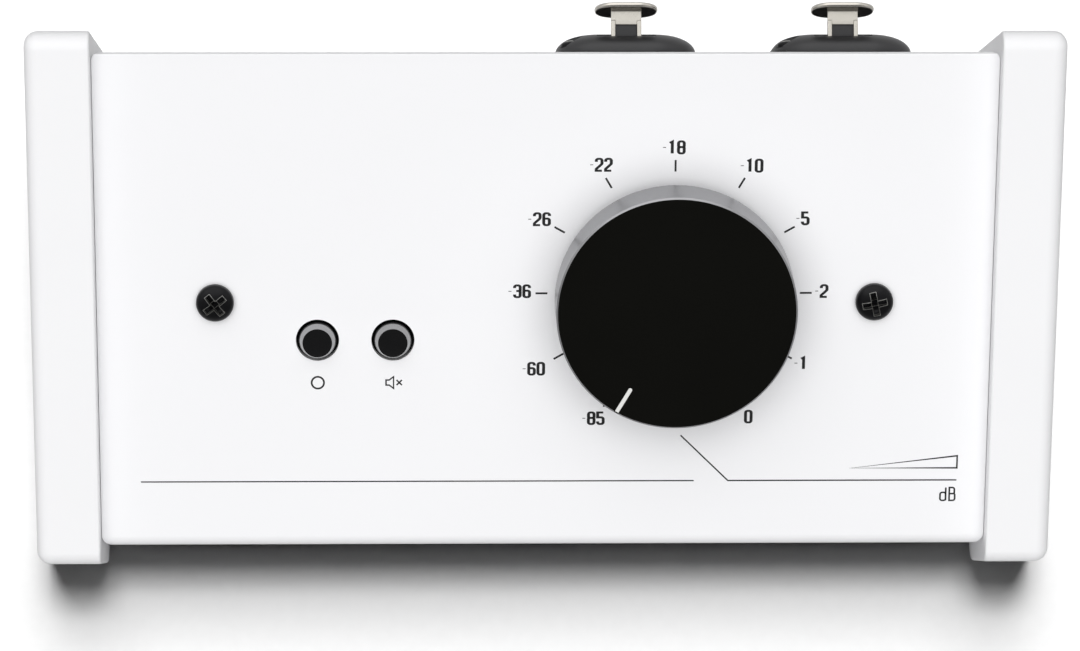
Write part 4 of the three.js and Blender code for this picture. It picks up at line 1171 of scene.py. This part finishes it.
floor_mesh = block((-floor_half, floor_half), (-floor_half, floor_half), (-2, 0))
floor_mesh.transform(as_drawn)
floor_mesh.materials.append(white_paper())
floor = bpy.data.objects.new("paper", floor_mesh)
bpy.context.scene.collection.objects.link(floor)
print("The paper is", 2 * floor_half * MM, "m wide")

# %% [markdown]
# ## The sky
# Metal and gloss show what stands round them. In the photo that is white paper nearly all round, and
# a dim room in front and overhead, where the camera is. So the world is white to the camera, and to
# a mirrored ray it is white behind, a little dimmer overhead, and dark in front. It gives the
# surfaces hardly any light of its own.

# %% A sky that is white to the camera
def graded(tree, value, start, end, low, high):
    """A smooth change from one strength to another."""
    return node(tree, "ShaderNodeMapRange",
                {"Value": value, "From Min": start, "From Max": end, "To Min": low, "To Max": high},
                interpolation_type="SMOOTHSTEP")


world = bpy.context.scene.world or bpy.data.worlds.new("world")
bpy.context.scene.world = world
world.use_nodes = True
sky = world.node_tree
all_white = (1, 1, 1, 1)
ambient = sky.nodes["Background"]
feed(sky, ambient, {"Color": all_white, "Strength": 0.01})
direction = parts_of(sky, node(sky, "ShaderNodeTexCoord", output="Generated"))
overhead = graded(sky, direction["Z"], 0.5, 0.97, 1, 0.75)
from_front = graded(sky, direction["Y"], -0.6, 0.35, 0.12, 1)
mirrored = node(sky, "ShaderNodeBackground", {
    "Color": all_white, "Strength": maths(sky, "MULTIPLY", overhead, from_front)})
white = node(sky, "ShaderNodeBackground", {"Color": all_white})
shiny = node(sky, "ShaderNodeMixShader", {
    0: seen_by(sky, "Is Glossy Ray", "Is Transmission Ray"), 1: ambient.outputs[0], 2: mirrored})
camera_sees = node(sky, "ShaderNodeMixShader",
                   {0: seen_by(sky, "Is Camera Ray"), 1: shiny, 2: white})
feed(sky, sky.nodes["World Output"], {"Surface": camera_sees})
print("The sky has", len(sky.nodes), "nodes")

# %% [markdown]
# ## Light
# In the photo a dark shadow lies on the paper in front, but hardly any under the knob, and one set of
# lamps can't give both. So two lamps light the paper alone, from behind, and three soft ones light
# the object alone. Light linking does that: a lamp takes one object only, or spares it. All are far
# away, so that their light is even, and their spread makes the shadows soft.

# %% Soft lamps
def lamp(name, towards, spread, strength, mirrored=False, only=None, spared=None):
    """A far lamp in one direction. Its spread, in degrees, makes its shadows soft."""
    light = bpy.data.lights.new(name, "SUN")
    light.angle = math.radians(spread)
    light.energy = strength
    item = bpy.data.objects.new(name, light)
    item.matrix_world = Vector(towards).to_track_quat("Z", "Y").to_matrix().to_4x4()
    item.visible_glossy = mirrored
    lit = bpy.data.collections.new(f"lit by the {name}")
    lit.objects.link(only or spared)
    lit.collection_objects[0].light_linking.link_state = "INCLUDE" if only else "EXCLUDE"
    item.light_linking.receiver_collection = lit
    bpy.context.scene.collection.objects.link(item)


lamp("key on the paper", (0, 0.28, 0.96), 16, 2, only=floor)
lamp("glow on the paper", (0, 0.57, 0.82), 36, 2.8, only=floor)
lamp("overhead", (-0.03, -0.2, 0.98), 70, 1.75, spared=floor)
lamp("rear fill", (-0.15, 0.65, 0.74), 80, 1, mirrored=True, spared=floor)
lamp("front fill", (0, -0.2, 0.98), 110, 0.97, spared=floor)
print(len(bpy.data.lights), "lamps")

# %% [markdown]
# ## Camera
# The camera looks almost straight down from 0.93 m, through a long lens, which keeps the sides nearly
# parallel. Its place and turns were fitted to the case and the knob in the photo.

# %% The photo's camera
camera_place = (-0.02348, -0.04309, 0.93387)
looking_down, camera_yaw, camera_roll = 87.725, 1.445, -0.103


def camera_matrix(place, elevation, yaw, roll):
    """A camera that looks down at the object from its front, then is turned and rolled a little."""
    elevation, yaw, roll = (math.radians(value) for value in (elevation, yaw, roll))
    level = Vector((0, math.cos(elevation), -math.sin(elevation)))
    above = Vector((0, math.sin(elevation), math.cos(elevation)))
    side = across * math.cos(yaw) - level * math.sin(yaw)
    ahead = across * math.sin(yaw) + level * math.cos(yaw)
    x_axis = side * math.cos(roll) + above * math.sin(roll)
    y_axis = above * math.cos(roll) - side * math.sin(roll)
    return Matrix.Translation(place) @ Matrix((x_axis, y_axis, -ahead)).transposed().to_4x4()


camera = bpy.data.objects.new("camera", bpy.data.cameras.new("camera"))
camera.data.sensor_width = 36
camera.data.lens = 160.81
camera.data.clip_end = 20
camera.matrix_world = camera_matrix(camera_place, looking_down, camera_yaw, camera_roll)
bpy.context.scene.collection.objects.link(camera)
bpy.context.scene.camera = camera
bpy.context.scene.view_settings.view_transform = "Standard"
print("The camera stands", camera_place[2], "m above the table")
